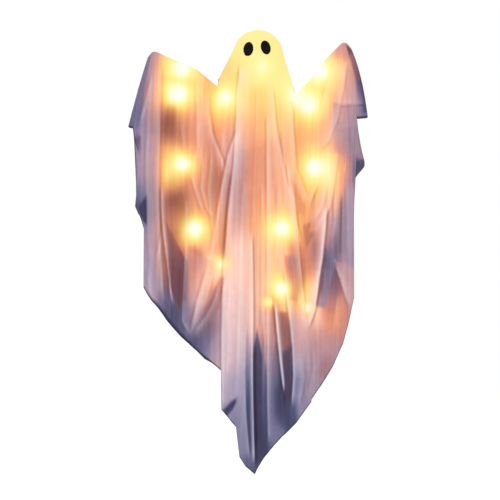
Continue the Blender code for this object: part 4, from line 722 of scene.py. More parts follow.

# %% [markdown]
# Between the folds the gauze glows by how near the lamps hang behind it and by how many layers
# veil them; this glow and shade are painted into the cloth's colour. Here are the places where
# the cloth is notably brighter, cooler, paler or darker, each a soft patch. Their values were set
# render after render, by comparing each render's colours with those of the picture. The back,
# which the picture doesn't show, reads the same patches. Painted light runs from 0, unlit violet
# at the hem, to 1, white hot. Veil is above 0 where extra layers turn it pale, painted as light,
# and below 0 where painted shade turns a deep hollow brown.

# %% Soft patches of light and veil
# x, y, half width, half height (pixels), painted light, veil (painted light above 0, painted shade
# below)
PATCHES = (
    # the head's cloth
    (258, 44, 26, 16, .86, .06), (258, 68, 14, 10, .90, .08), (240, 73, 8, 14, .76, .06),
    (226, 74, 4, 12, .71, .12), (277, 72, 8, 14, .84, 0), (232, 90, 6, 12, .66, .08),
    (262, 100, 10, 9, .76, .02), (246, 106, 9, 10, .72, .10), (262, 124, 10, 12, .68, .06),
    (241, 132, 9, 12, .58, .16), (281, 118, 8, 12, .74, .08), (285, 262, 4, 10, .66, .40),
    (286, 300, 4, 10, .72, .30), (185, 244, 5, 8, .66, 0), (236, 160, 8, 12, .40, .10),
    (258, 160, 9, 14, .56, 0), (277, 160, 7, 14, .58, .14), (235, 192, 6, 12, .40, -.04),
    (237, 212, 7, 14, .44, .16), (257, 210, 9, 22, .56, 0), (272, 205, 6, 18, .60, .14),
    (287, 190, 6, 16, .60, .14), (239, 266, 9, 24, .62, .76), (256, 262, 7, 18, .60, .24),
    (268, 250, 7, 20, .68, .20), (237, 315, 9, 22, .48, .66), (254, 305, 7, 18, .56, .44),
    (265, 325, 7, 14, .52, .20), (229, 352, 6, 16, .40, .60), (244, 350, 6, 14, .36, .40),
    (254, 358, 5, 12, .22, -.22), (265, 356, 5, 12, .38, .06), (229, 390, 6, 14, .25, .18),
    (238, 385, 5, 14, .26, .36), (247, 400, 4, 22, .08, 0), (248, 440, 3, 14, .07, 0),
    (259, 374, 7, 14, .20, -.14), (260, 405, 6, 14, .10, 0), (276, 364, 7, 14, .28, -.16),
    (284, 386, 6, 14, .08, -.40), (297, 384, 7, 14, .11, .02), (303, 362, 7, 10, .34, .30),
    (314, 368, 8, 14, .32, .22), (241, 430, 6, 18, .18, .06), (262, 436, 7, 16, 0, 0),
    (286, 412, 7, 12, .06, -.04), (303, 403, 7, 10, .26, .18), (306, 390, 4, 10, .34, .20),
    (291, 400, 4, 12, .06, -.10), (225, 232, 5, 18, .54, -.20), (246, 456, 6, 10, .20, .04),
    (256, 460, 6, 12, .09, 0), (275, 434, 6, 10, .20, .10), (288, 346, 6, 14, .34, -.26),
    (270, 410, 4, 20, .16, .04),
    # the left arm's cloth
    (143, 82, 6, 22, .21, -.08), (136, 116, 6, 10, .19, .04), (151, 84, 5, 20, .34, .24),
    (156, 98, 5, 14, .56, 0), (154, 120, 5, 10, .38, -.52), (168, 78, 9, 11, .72, 0),
    (196, 86, 10, 12, .70, 0), (212, 98, 7, 11, .60, 0), (218, 112, 7, 12, .66, 0),
    (167, 130, 8, 11, .48, -.80), (182, 130, 7, 9, .48, -.30), (174, 184, 5, 7, .70, -.10),
    (194, 126, 9, 14, .56, .12), (210, 144, 7, 14, .52, 0), (225, 150, 5, 12, .54, .24),
    (148, 134, 7, 16, .30, .24), (136, 144, 4, 5, .22, .10), (156, 152, 5, 20, .44, 0),
    (155, 200, 5, 20, .36, -.20), (168, 150, 7, 11, .70, 0), (200, 158, 8, 16, .52, 0),
    (216, 178, 6, 14, .53, -.40), (149, 178, 7, 22, .32, .20), (143, 206, 6, 14, .16, -.20),
    (172, 200, 8, 11, .44, -.76), (179, 212, 7, 10, .58, -.50), (166, 222, 7, 12, .48, -.34),
    (196, 190, 7, 16, .52, 0), (195, 260, 6, 8, .28, -.30), (212, 206, 6, 16, .54, -.10),
    (140, 213, 5, 9, .05, -.30), (148, 228, 6, 16, .30, .14), (158, 240, 5, 22, .46, .02),
    (164, 263, 4, 14, .54, 0), (170, 244, 6, 12, .46, -.70), (173, 272, 8, 16, .38, -.74),
    (152, 268, 6, 18, .26, .24), (185, 260, 8, 9, .48, -.20), (206, 240, 7, 10, .60, .18),
    (193, 272, 7, 9, .46, -.20), (196, 302, 8, 14, .50, .64), (206, 276, 7, 12, .88, .90),
    (214, 294, 5, 8, .41, -.12), (176, 308, 8, 12, .08, -.50), (176, 290, 8, 8, .32, -.52),
    (164, 176, 5, 14, .84, 0), (164, 302, 6, 12, .18, -.10), (154, 294, 6, 12, .32, .30),
    (170, 322, 8, 8, .10, 0), (187, 314, 8, 10, .24, -.14), (206, 322, 7, 12, .24, -.66),
    (216, 318, 5, 14, .34, .20), (201, 344, 8, 8, .12, -.24), (214, 346, 8, 9, .32, .40),
    # the right arm's cloth
    (343, 52, 6, 6, .40, .10), (337, 74, 7, 13, .74, .22), (347, 84, 5, 14, .50, .26),
    (364, 107, 3, 8, .14, -.10), (356, 92, 4, 10, .34, .20), (356, 71, 3, 10, .36, -.40),
    (326, 82, 8, 10, .76, 0), (307, 92, 9, 8, .82, 0), (322, 106, 9, 10, .72, .04),
    (340, 116, 8, 14, .46, .30), (352, 128, 7, 16, .27, .04), (328, 134, 8, 13, .60, .24),
    (308, 136, 10, 13, .68, .06), (294, 135, 6, 12, .64, .06), (296, 160, 7, 13, .62, .10),
    (332, 176, 7, 15, .92, .22), (337, 198, 5, 9, .72, .32), (344, 166, 7, 14, .46, .12),
    (355, 150, 6, 12, .32, -.10), (360, 172, 5, 9, .16, -.30), (350, 194, 6, 16, .34, .06),
    (316, 186, 8, 12, .72, .02), (306, 204, 7, 12, .62, 0), (326, 206, 7, 12, .56, .42),
    (342, 222, 7, 20, .30, .14), (350, 246, 5, 22, .26, .14), (326, 236, 6, 10, .50, .44),
    (334, 246, 5, 10, .24, -.14), (315, 234, 7, 11, .46, 0), (300, 236, 6, 12, .60, .04),
    (303, 266, 6, 12, .56, -.04), (306, 297, 5, 13, .86, 0), (316, 264, 8, 13, .48, -.20),
    (330, 268, 6, 18, .18, -.46), (337, 280, 3, 10, .32, -.70), (317, 246, 4, 8, .38, -.30),
    (315, 303, 6, 16, .79, .92), (327, 300, 6, 12, .30, -.16), (344, 276, 6, 12, .46, .10),
    (351, 292, 5, 14, .36, .04), (334, 314, 8, 14, .62, -.10), (325, 340, 9, 10, .44, .12),
    (346, 326, 6, 12, .44, -.04), (304, 330, 9, 12, .46, .36), (316, 350, 10, 10, .38, .26),
    (337, 348, 8, 9, .34, .10), (325, 366, 5, 8, .38, -.18), (295, 280, 6, 12, .38, -.66),
    (294, 257, 4, 10, .44, -.24), (275, 320, 5, 14, .44, -.20),
)
# Some places have an edge all round: where a corner is turned over, where a pleat shows its dark
# side in painted shade, where a second layer begins, and where a deep hollow lies in painted
# shade.
# corners (pixels), painted light, veil, how much of it shows, and how soft its edge is (pixels)
FACETS = (
    (((147, 195), (135, 211), (139, 219), (147, 224)), .07, -.50, .9, 1.8),
    (((239, 396), (223, 410), (226, 417), (233, 409)), .04, -.20, .85, 1.8),
    (((325, 247), (336, 258), (333, 272), (321, 274)), .22, .06, .85, 1.8),
    (((321, 268), (333, 272), (325, 308), (315, 306)), .26, .08, .8, 2.4),
    (((334, 260), (352, 308), (356, 300), (356, 266)), .40, .34, .6, 3.0),
    (((349, 182), (356, 190), (356, 272), (337, 258), (340, 204)), .30, .20, .6, 4.0),
    (((346, 45), (352, 50), (364, 86), (356, 82)), .30, -.66, 1.0, 1.6),
    (((356, 80), (363, 80), (372, 118), (360, 106)), .13, -.50, 1.0, 1.6),
    (((351, 54), (357, 82), (361, 104), (344, 104), (346, 70)), .46, .30, .5, 4.0),
    (((149, 53), (142, 62), (126, 126), (134, 127), (141, 92), (150, 62)), .10, .0, .8, 2.4),
    (((141, 136), (132, 138), (133, 146), (139, 151)), .20, -.70, .7, 2.0),
    (((333, 103), (357, 104), (359, 128), (333, 126)), .36, .16, .6, 3.0),
    (((333, 126), (359, 128), (364, 160), (335, 152)), .32, .12, .5, 6.0),
    (((353, 159), (368, 160), (364, 170), (353, 183)), .12, -.40, .85, 1.8),
    (((151, 55), (143, 62), (128, 127), (139, 128)), .21, -.14, .8, 1.8),
    (((166, 222), (187, 262), (186, 300), (178, 312), (170, 280)), .33, -.70, .7, 2.4),
    (((219, 278), (226, 276), (219, 308), (206, 328), (206, 312)), .38, -.46, .5, 2.6),
    (((187, 250), (216, 263), (205, 300), (190, 296)), .48, .16, .6, 2.4),
    (((257, 330), (262, 356), (262, 462), (254, 464), (253, 356)), .08, -.56, .72, 2.4),
    (((277, 312), (287, 312), (292, 362), (284, 372)), .45, -.62, .7, 4.0),
    (((281, 352), (292, 346), (293, 372), (290, 408), (284, 396)), .16, -.60, .8, 8.0),
    (((303, 226), (314, 220), (313, 236), (306, 249)), .50, -.56, .6, 2.6),
    (((290, 180), (296, 184), (306, 208), (305, 216), (297, 214)), .58, -.24, .5, 3.0),
    (((284, 255), (298, 257), (297, 300), (288, 300)), .36, -.20, .5, 2.4),
    (((311, 222), (326, 214), (326, 232), (309, 232)), .52, .30, .5, 2.4),
)
print("patches", len(PATCHES), "facets", len(FACETS))

# %% Reading folds and patches at every point of a sheet
# pixels: how far a fold takes to rise at its ends, and the width of a crisp edge
FOLD_END, CRISP_EDGE = 16, 1.1
# far from all patches the nearest ones still count a little, over this many pixels
FAR_SHARE, FAR_REACH = 0.02, 12


def straight_runs(points):
    """Each straight piece between these points: its start, its direction and its length."""
    for (x0, y0), (x1, y1) in zip(points, points[1:]):
        length = math.hypot(x1 - x0, y1 - y0)
        yield x0, y0, (x1 - x0) / length, (y1 - y0) / length, length


def edge_field(across, down, points):
    """Signed distance in pixels from a pinned edge, above 0 on the right of an edge that runs
    down, and how far along it the nearest place is, in pixels from its start and to its end."""
    nearest = np.full_like(across, 1e9)
    signed, run = np.zeros_like(across), np.zeros_like(across)
    done = 0.0
    for x0, y0, ux, uy, length in straight_runs(points):
        px, py = across - x0, down - y0
        along = np.clip(px * ux + py * uy, 0, length)
        far = np.hypot(px - along * ux, py - along * uy)
        closer = far < nearest
        nearest = np.where(closer, far, nearest)
        signed = np.where(closer, np.where(px * uy - py * ux < 0, -far, far), signed)
        run = np.where(closer, done + along, run)
        done += length
    return signed, run, done - run


def fold_fields(across, down):
    """Lift in metres, and the painted highlight and shade of the folds, at these pixels, from the
    pinned folds.
    """
    lift, fold_light_and_shade = np.zeros_like(across), np.zeros_like(across)
    for points, width, height, tone in FOLDS:
        away, start, left = edge_field(across, down, points)
        away = away / width
        fade = ease(start / FOLD_END + 0.1) * ease(left / FOLD_END + 0.1)
        sharp = CRISP_EDGE / abs(width)
        veil_light_and_shade = np.exp(-np.where(away > 0, away / 1.1, (away / sharp) ** 2))
        shade = np.exp(-((away + 2.2 * sharp) / (1.3 * sharp)) ** 2)
        lift += 0.001 * height * fade * np.exp(-((away - 0.4) / 0.9) ** 2)
        # each fold's veil is painted pale as a highlight, or dark as shade when its tone is below
        # 0, and a pale fold gets a painted shadow at its foot
        fold_light_and_shade += tone * fade * (veil_light_and_shade - (0.4 * shade if tone > 0 else 0))
    return lift, fold_light_and_shade


def patch_fields(across, down):
    """Painted light, and the veil's painted light and shade, at these pixels, each the mean of the
    patches by how near they lie.
    """
    total, light, veil_light_and_shade = (np.full_like(across, 1e-9) for _ in range(3))
    for x, y, wide, high, brightness, layer_light_and_shade in PATCHES:
        weight = np.exp(-0.5 * (((across - x) / wide) ** 2 + ((down - y) / high) ** 2))
        far = ((across - x) / FAR_REACH) ** 2 + ((down - y) / FAR_REACH) ** 2
        weight += FAR_SHARE / (1 + far) ** 2
        total += weight
        light += weight * brightness
        veil_light_and_shade += weight * layer_light_and_shade
    light, veil_light_and_shade = light / total, veil_light_and_shade / total
    for corners, brightness, layer_light_and_shade, shown, soft in FACETS:
        middle = np.mean(corners, axis=0)
        inside = np.full_like(across, 1e9)
        for x0, y0, ux, uy, _ in straight_runs((*corners, corners[0])):
            facing = 1 if (middle[0] - x0) * uy - (middle[1] - y0) * ux > 0 else -1
            inside = np.minimum(inside, facing * ((across - x0) * uy - (down - y0) * ux))
        shown = shown * ease(inside / soft + 0.5)
        light, veil_light_and_shade = mix(light, brightness, shown), mix(veil_light_and_shade, layer_light_and_shade, shown)
    return light, veil_light_and_shade

print("readers ready")

# %% [markdown]
# Each sheet is now made. The lines become columns of a mesh, the bends at the head's rim and at
# the neck are eased as a soft cloth eases them, and the folds are lifted out. The mesh carries
# the cloth's own width and fall in metres as its UV map, for the weave, and four numbers at each
# point: painted light, the veil's painted light and shade, the folds' painted highlight and shade
# (pale), and how near a cut edge lies.

# %% Make a sheet from its falling lines
EASED_ROWS, EASE_ROUNDS = 5, 40
BREADTH_ROW = 60
FOLD_CALM = 0.03
WELD_DISTANCE = 0.00002
# where the dark rim of the hem is wider: place and reach in pixels, across and down, how much
WIDE_RIM = ((172, 38), (318, 34), 2.4)
# how much of the folds the sides and the back take
BACK_SHARE = 0.3


def eased_columns(lines, bends):
    """Softens each line near the rows where its direction bends."""
    eased = []
    for line in lines:
        rows = np.arange(len(line))
        free = np.zeros(len(line))
        for bend in bends:
            if bend < len(line):
                free = np.maximum(free, np.exp(-((rows - bend) / EASED_ROWS) ** 2))
        free[[0, -1]] = 0
        for _ in range(EASE_ROUNDS):
            middle = (np.roll(line, 1, 0) + np.roll(line, -1, 0)) / 2
            line = line + (middle - line) * 0.5 * free[:, None]
        eased.append(line)
    return eased


def along_lines(lines):
    """How far each point is from the top of its own line, and from the hem at its end."""
    falls, hems = [], []
    for line in lines:
        steps = np.linalg.norm(np.diff(line, axis=0), axis=1)
        falls.append(np.concatenate(([0], np.cumsum(steps))))
        hems.append(np.concatenate((np.cumsum(steps[::-1])[::-1], [0])))
    return np.concatenate(falls), np.concatenate(hems)


def make_sheet(name, lines, outward, strength, finish, closed=False):
    """A thin sheet of cloth through these lines, with its folds, map and attributes. strength
    says line by line how much of the picture's folds it takes, which is less at the back."""
    middle = [line[min(len(line) // 2, BREADTH_ROW)] for line in lines]
    run = [0.0]
    for a, b in zip(middle, middle[1:]):
        run.append(run[-1] + float(np.linalg.norm(b - a)))
    lengths = [len(line) for line in lines]
    fall, hem = along_lines(lines)
    flat = np.concatenate(lines)
    away = np.concatenate([np.tile(out, (count, 1)) for out, count in zip(outward, lengths)])
    taken = np.concatenate([np.full(count, share) for share, count in zip(strength, lengths)])
    across, down = pixel_of(flat)
    lift, pale = fold_fields(across, down)
    light, veil_light_and_shade = patch_fields(across, down)
    (rim_x, reach_x), (rim_y, reach_y), more = WIDE_RIM
    rim = 1 + more * np.exp(-((across - rim_x) / reach_x) ** 2 - ((down - rim_y) / reach_y) ** 2)
    flat = flat + away * (lift * ease(hem / FOLD_CALM) * taken)[:, None]
    breadth = np.repeat(run, lengths)
    starts = np.cumsum([0] + lengths)
    pairs = list(zip(range(len(lines)), range(1, len(lines))))
    if closed:
        pairs.append((len(lines) - 1, 0))
    faces = []
    for a, b in pairs:
        rows = min(lengths[a], lengths[b]) - 1
        near, beside = starts[a] + np.arange(rows), starts[b] + np.arange(rows)
        faces.append(np.stack((near, near + 1, beside + 1, beside), axis=1))
    faces = np.concatenate(faces)
    mesh = bpy.data.meshes.new(name)
    mesh.from_pydata((flat + np.array(CROWN)).tolist(), [], faces.tolist())
    # light, veil and pale carry the painted light and shade of the gauze
    for label, values in (("light", light), ("veil_light_and_shade", veil_light_and_shade), ("pale", pale * taken),
                          ("hem", hem / rim)):
        layer = mesh.attributes.new(label, "FLOAT", "POINT")
        layer.data.foreach_set("value", values.astype(np.float32))
    corners = np.empty(len(mesh.loops), np.int32)
    mesh.loops.foreach_get("vertex_index", corners)
    uv = mesh.uv_layers.new(name="cloth")
    uv.data.foreach_set("uv", np.stack((breadth[corners], fall[corners]), 1).ravel())
    cloth = add_object(name, mesh)
    bm = bmesh.new()
    bm.from_mesh(mesh)
    bmesh.ops.remove_doubles(bm, verts=bm.verts, dist=WELD_DISTANCE)
    bm.to_mesh(mesh)
    bm.free()
    mesh.shade_smooth()
    mesh.materials.append(finish)
    wall = cloth.modifiers.new("cloth_wall", "SOLIDIFY")
    wall.thickness, wall.offset = CLOTH_WALL, 1
    area = sum(face.area for face in mesh.polygons)
    print(name, len(mesh.polygons), "faces", round(area, 4), "m2")
    return cloth, area

# %% [markdown]
# Gauze lit from behind has no single colour. Where it is unlit it is a cool violet grey, almost
# navy where the hem folds on itself; as lamps come near it turns rose, peach, amber, yellow and
# at last white. One ramp holds those colours, and everything else says how far along the ramp a
# point lies. The nearest lamp is found in the shader from each lamp's place, with the depth
# shortened, because a glow spreads over the sheet in front of it; so the lamps' glow is painted
# into the cloth's colour.

# %% Where the lamps glow through the cloth
# place across, depth and height from the crown, and how small the glow is: 1 is a full glow
GLOWS = (
    (0.013, 0.0, -0.108, 2.2), (0.104, -0.02, -0.190, 1.0), (0.134, -0.02, -0.206, 0.95),
    (-0.087, -0.02, -0.192, 1.0), (-0.206, -0.02, -0.106, 1.0), (-0.217, -0.02, -0.177, 0.92),
    (0.166, -0.02, -0.114, 1.05), (-0.202, -0.02, -0.366, 1.15), (0.153, -0.02, -0.375, 0.98),
    (-0.171, -0.02, -0.541, 1.02), (0.062, -0.06, -0.541, 1.02), (-0.094, -0.02, -0.637, 1.7),
    (0.062, -0.06, -0.702, 1.12), (0.026, -0.06, -0.736, 2.2), (0.134, -0.02, -0.755, 2.8),
)
DEPTH_SHORTENED = 0.2
GLOW_REACH = 0.12


def nearest_glow(tree, place):
    """Distance to the nearest glow, over the reach, from 0 at a lamp to 1 where none is near."""
    nearest = None
    for x, y, z, small in GLOWS:
        spot = (x + CROWN.x, (y + CROWN.y) * DEPTH_SHORTENED, z + CROWN.z)
        far = node(tree, "VectorMath", place, spot, operation="DISTANCE").outputs["Value"]
        far = maths(tree, "MULTIPLY", far, small / GLOW_REACH)
        if nearest is None:
            nearest = far
        else:
            nearest = maths(tree, "SMOOTH_MIN", nearest, far, 0.10)
    return maths(tree, "MAXIMUM", nearest, 0.0, clamp=True)


LIT_RAMP = (
    (0.00, paint(47, 46, 72)), (0.10, paint(78, 79, 112)), (0.20, paint(114, 111, 144)),
    (0.30, paint(148, 123, 144)), (0.40, paint(184, 130, 132)), (0.50, paint(216, 142, 122)),
    (0.60, paint(242, 162, 116)), (0.70, paint(255, 192, 118)), (0.80, paint(255, 224, 130)),
    (0.90, paint(255, 244, 160)), (1.00, paint(255, 255, 238)),
)
print("ramp stops", len(LIT_RAMP))

# %% The gauze itself
def attribute(tree, name):
    made = tree.nodes.new("ShaderNodeAttribute")
    made.attribute_name = name
    return made.outputs["Fac"]


def threads(tree):
    """The cloth's own map, and its weave: two sets of threads a millimetre apart."""
    cloth = tree.nodes.new("ShaderNodeUVMap")
    cloth.uv_map = "cloth"
    sets = []
    for direction in ("X", "Y"):
        wave = node(tree, "TexWave", cloth.outputs[0], wave_type="BANDS",
                    bands_direction=direction)
        wave.inputs["Scale"].default_value = 300
        wave.inputs["Distortion"].default_value = 1.2
        wave.inputs["Detail Scale"].default_value = 2
        sets.append(wave.outputs["Fac"])
    return cloth.outputs[0], maths(tree, "MAXIMUM", *sets)


def streaks(tree, uv, stretch, detail):
    """Noise that is drawn out along the fall of the cloth."""
    drawn = node(tree, "VectorMath", uv, stretch, operation="MULTIPLY")
    return noise(tree, drawn.outputs[0], 1, detail)


# how veil and paleness paint light and shade into the cloth, in turn: which one, how strongly
# (below 0 it acts where the number is below 0), the colour on unlit cloth, and the colour on lit
# cloth
TURNS = (
    # the veil's paler layers painted as light, its painted shade in deep hollows, the folds'
    # painted highlights, and their painted shade
    ("veil_light_and_shade", 1.0, paint(190, 188, 222), paint(252, 218, 212)),
    ("veil_light_and_shade", -1.15, paint(50, 36, 56), paint(122, 52, 38)),
    ("pale", 1.25, paint(204, 200, 228), paint(255, 232, 218)),
    ("pale", -2.2, paint(40, 34, 56), paint(128, 74, 60)),
)


def gauze_finish(name):
    made, tree, shader = finish_named(name)
    place = place_of(tree)
    flat_place = node(tree, "VectorMath", place, (1, DEPTH_SHORTENED, 1), operation="MULTIPLY")
    near = nearest_glow(tree, flat_place.outputs[0])
    uv, weave = threads(tree)
    # Long soft streaks where threads draw together, and thin painted highlights on crests where
    # small folds stand. The cloth's own map is bent a little first, so that they fan and sway as
    # gathered gauze does.
    sway = maths(tree, "MULTIPLY_ADD", streaks(tree, uv, (6, 2.4, 1), 1), 0.05, -0.025)
    bent = node(tree, "VectorMath", uv, node(tree, "CombineXYZ", sway, 0.0, 0.0).outputs[0],
                operation="ADD").outputs[0]
    streak = maths(tree, "SUBTRACT", streaks(tree, bent, (70, 2.6, 1), 3), 0.5)
    ridge = maths(tree, "SUBTRACT", streaks(tree, bent, (26, 1.6, 1), 1), 0.5)
    ridge = rescaled(tree, maths(tree, "ABSOLUTE", ridge), 0.0, 0.03, 1.0, 0.0,
                     interpolation_type="SMOOTHSTEP")
    shown = rescaled(tree, streaks(tree, uv, (9, 4, 1), 1), 0.46, 0.62, 0.0, 1.0)
    crest_highlight = maths(tree, "MULTIPLY", ridge, shown)
    near = maths(tree, "MULTIPLY", near, maths(tree, "MULTIPLY_ADD", streak, -0.4, 1.0))
    glow = ramp(tree, near, ((0.0, 1.0), (0.10, 1.0), (0.17, 0.84), (0.28, 0.54),
                             (0.42, 0.26), (0.60, 0.08), (0.90, 0.0)), "B_SPLINE")
    dim = maths(tree, "SUBTRACT", 1.0, attribute(tree, "light"), clamp=True)
    unlit = maths(tree, "SUBTRACT", 1.0, glow, clamp=True)
    level = maths(tree, "SUBTRACT", 1.0, maths(tree, "MULTIPLY", dim, unlit), clamp=True)
    level = maths(tree, "MULTIPLY_ADD", maths(tree, "MULTIPLY", streak, dim), 0.05, level)
    colour = ramp(tree, level, LIT_RAMP, "LINEAR")
    warmth = rescaled(tree, level, 0.1, 0.6)
    for label, strength, cool, warm in TURNS:
        amount = maths(tree, "MULTIPLY", attribute(tree, label), strength)
        amount = maths(tree, "MULTIPLY", amount, unlit, clamp=True)
        turned = blend_colours(tree, warmth, cool, warm)
        colour = blend_colours(tree, amount, colour, turned)
    # Streaks, painted crest highlights and the painted light and shade of crumples darken and
    # lighten the colour, least where it is well lit.
    calm = rescaled(tree, level, 0.45, 0.85, 1.0, 0.12)
    grain = maths(tree, "MULTIPLY_ADD", streak, 0.5, maths(tree, "MULTIPLY", crest_highlight, 0.20))
    crumple_light_and_shade = maths(tree, "SUBTRACT", noise(tree, place, 55, 4), 0.5)
    grain = maths(tree, "MULTIPLY_ADD", crumple_light_and_shade, 0.2, grain)
    grain = maths(tree, "MULTIPLY_ADD", grain, calm, 1.0)
    streaked_and_shaded = node(tree, "VectorMath", colour, operation="SCALE")
    put(tree, streaked_and_shaded.inputs["Scale"], grain)
    # The hem shows a thin dark rim, and threads close the cloth a little where they cross.
    rim = rescaled(tree, attribute(tree, "hem"), 0.0012, 0.0060, 0.94, 0.0)
    rim = maths(tree, "MULTIPLY", rim, unlit)
    colour = blend_colours(tree, rim, streaked_and_shaded.outputs[0], paint(40, 36, 62))
    thick = rescaled(tree, level, 0.1, 0.7, 0.96, 0.88)
    sheer = maths(tree, "MULTIPLY_ADD", weave, 0.06, thick, clamp=True)
    # The colour, with its painted glow, highlights and shade, is also emitted, so the cloth shines
    # with painted light.
    set_sockets(tree, shader, Base_Color=dimmed(tree, 0.42, colour), Roughness=0.75, Alpha=sheer,
                Emission_Color=dimmed(tree, 0.66, colour), Emission_Strength=1.0,
                Normal=bumped(tree, weave, 0.25, 0.0003), Sheen_Weight=0.05,
                Sheen_Roughness=0.5, Specular_IOR_Level=0.1)
    return made


GAUZE = gauze_finish("sheer_gauze")
print("gauze nodes", len(GAUZE.node_tree.nodes))

# %% [markdown]
# The head's cloth is closed round the globe. Below each arm it has an open side, so its front
# and back are two long panels, cut to a ragged tail that hangs lowest in the middle.

# %% The cloth over the head
FRONT_LINES, BACK_LINES, SIDE_LINES = 131, 71, 12


def head_cloth():
    front = np.linspace(-1, 1, FRONT_LINES)
    back = np.linspace(1, -1, BACK_LINES)
    sides = [(i + 1) / (SIDE_LINES + 1) for i in range(SIDE_LINES)]
    lines = [body_line(place, -1) for place in front]
    outward = [(0.25 * place, -1, 0) for place in front]
    lines += [body_line(place, 0, 1) for place in sides]
    lines += [body_line(place, 1) for place in back]
    lines += [body_line(place, 0, -1) for place in reversed(sides)]
    outward += [(1, 0, 0)] * SIDE_LINES + [(0, 1, 0)] * BACK_LINES + [(-1, 0, 0)] * SIDE_LINES
    strength = [1.0] * FRONT_LINES + [BACK_SHARE] * (BACK_LINES + 2 * SIDE_LINES)
    lines = eased_columns(lines, (DOME_ROWS + 5, DOME_ROWS + FLARE_ROWS))
    return make_sheet("head_gauze", lines, outward, strength, GAUZE, closed=True)


HEAD_CLOTH, HEAD_AREA = head_cloth()
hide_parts("body_drape")
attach(HEAD_CLOTH, "frame_and_head")

# %% The cloth over each arm
ARM_LINES, TIP_LINES = 71, 36


def arm_cloth(side, name):
    shares = np.linspace(0, 1, ARM_LINES)
    headings = np.linspace(math.pi / 2, -math.pi / 2, TIP_LINES + 2)[1:-1]
    lines = [wing_line(side, float(share), math.pi / 2, 1) for share in shares]
    outward = [(0, 1, 0)] * ARM_LINES
    for heading in headings:
        lines.append(wing_line(side, 1, heading, 1 if heading > 0 else -1))
        outward.append((side * math.cos(heading), math.sin(heading), 0))
    lines += [wing_line(side, float(share), math.pi / 2, -1) for share in shares[::-1]]
    outward += [(0, -1, 0)] * ARM_LINES
    strength = [BACK_SHARE] * ARM_LINES
    strength += [mix(BACK_SHARE, 1, max(0, -math.sin(heading))) for heading in headings]
    strength += [1.0] * ARM_LINES
    if side > 0:
        lines.reverse()
        outward.reverse()
        strength.reverse()
    return make_sheet(name, lines, outward, strength, GAUZE)


LEFT_CLOTH, LEFT_AREA = arm_cloth(-1, "left_arm_gauze")
RIGHT_CLOTH, RIGHT_AREA = arm_cloth(1, "right_arm_gauze")
for cloth, side in ((LEFT_CLOTH, "left"), (RIGHT_CLOTH, "right")):
    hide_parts(side + "_arm_drape")
    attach(cloth, side + "_arm")

print("areas", round(HEAD_AREA, 3), round(LEFT_AREA, 3), round(RIGHT_AREA, 3))

# %% [markdown]
# The eyes are two ovals of thick black felt, glued on and a little askew. Felt has no shine and a
# furry edge. Each starts as a filled circle, gets smaller rings inside so that it can bend to
# the round head, is laid on the head's cloth, and gets its thickness and a soft rim.

# %% Felt eyes
EYE_HALF = (0.0135, 0.0201)
EYES = {"left": (-0.0262, -0.0600, math.radians(5)), "right": (0.0204, -0.0558, math.radians(-12))}
EYE_RINGS = (0.86, 0.78, 0.7, 0.6, 0.4)
FELT_WALL, FELT_RIM, GLUE = 0.0013, 0.0005, 0.0002


def felt_finish():
    made, tree, shader = finish_named("felt")
    place = place_of(tree)
    fibre, clump = noise(tree, place, 1400, 6), noise(tree, place, 240)
    height = maths(tree, "ADD", fibre, clump)
    shade = ramp(tree, clump, ((0.3, paint(6, 4, 6)), (0.75, paint(20, 15, 18))))
    set_sockets(tree, shader, Base_Color=shade, Roughness=0.95,
                Normal=bumped(tree, height, 0.5, 0.0004), Sheen_Weight=0.06,
                Sheen_Roughness=0.6, Specular_IOR_Level=0.05)
    return made


FELT = felt_finish()
HEAD_SHAPE = BVHTree.FromPolygons([v.co for v in HEAD_CLOTH.data.vertices],
                                  [f.vertices for f in HEAD_CLOTH.data.polygons])


def on_cloth(x, z):
    """The point of the head's cloth straight behind this place, with room for its thickness."""
    met = HEAD_SHAPE.ray_cast(Vector((x, CROWN.y - 1, z)), Vector((0, 1, 0)))[0]
    return met - Vector((0, CLOTH_WALL * 1.2 + GLUE, 0))


def felt_eye(side):
    x, z, tilt = EYES[side]
    bpy.ops.mesh.primitive_circle_add(vertices=48, radius=1, fill_type="NGON")
    eye = bpy.context.object
    bpy.ops.object.mode_set(mode="EDIT")
    bpy.ops.mesh.select_all(action="SELECT")
    for share in EYE_RINGS:
        bpy.ops.mesh.extrude_region_move()
        bpy.ops.transform.resize(value=(share, share, 1))
    bpy.ops.mesh.merge(type="CENTER")
    bpy.ops.object.mode_set(mode="OBJECT")
    for vertex in eye.data.vertices:
        u, v = vertex.co.x * EYE_HALF[0], vertex.co.y * EYE_HALF[1]
        across = x + u * math.cos(tilt) + v * math.sin(tilt)
        up = z - u * math.sin(tilt) + v * math.cos(tilt)
        vertex.co = on_cloth(CROWN.x + across, CROWN.z + up)
    eye.name = eye.data.name = side + "_felt_eye"
    bpy.ops.object.mode_set(mode="EDIT")
    bpy.ops.mesh.select_all(action="SELECT")
    bpy.ops.mesh.normals_make_consistent(inside=False)
    bpy.ops.object.mode_set(mode="OBJECT")
    if eye.data.polygons[0].normal.y > 0:
        eye.data.flip_normals()
    for kind, label in (("SOLIDIFY", "felt_wall"), ("BEVEL", "soft_rim")):
        step = eye.modifiers.new(label, kind)
        if kind == "SOLIDIFY":
            step.thickness, step.offset = FELT_WALL, 1
        else:
            step.width, step.segments, step.limit_method = FELT_RIM, 3, "ANGLE"
            step.angle_limit = math.radians(50)
        bpy.ops.object.modifier_apply(modifier=label)
    bpy.ops.object.shade_smooth_by_angle(angle=math.radians(50))
    eye.data.materials.append(FELT)
    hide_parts(side + "_eye")
    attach(eye, "frame_and_head")
    eye.select_set(False)
    print(eye.name, len(eye.data.polygons), "faces")


for side in EYES:
    felt_eye(side)

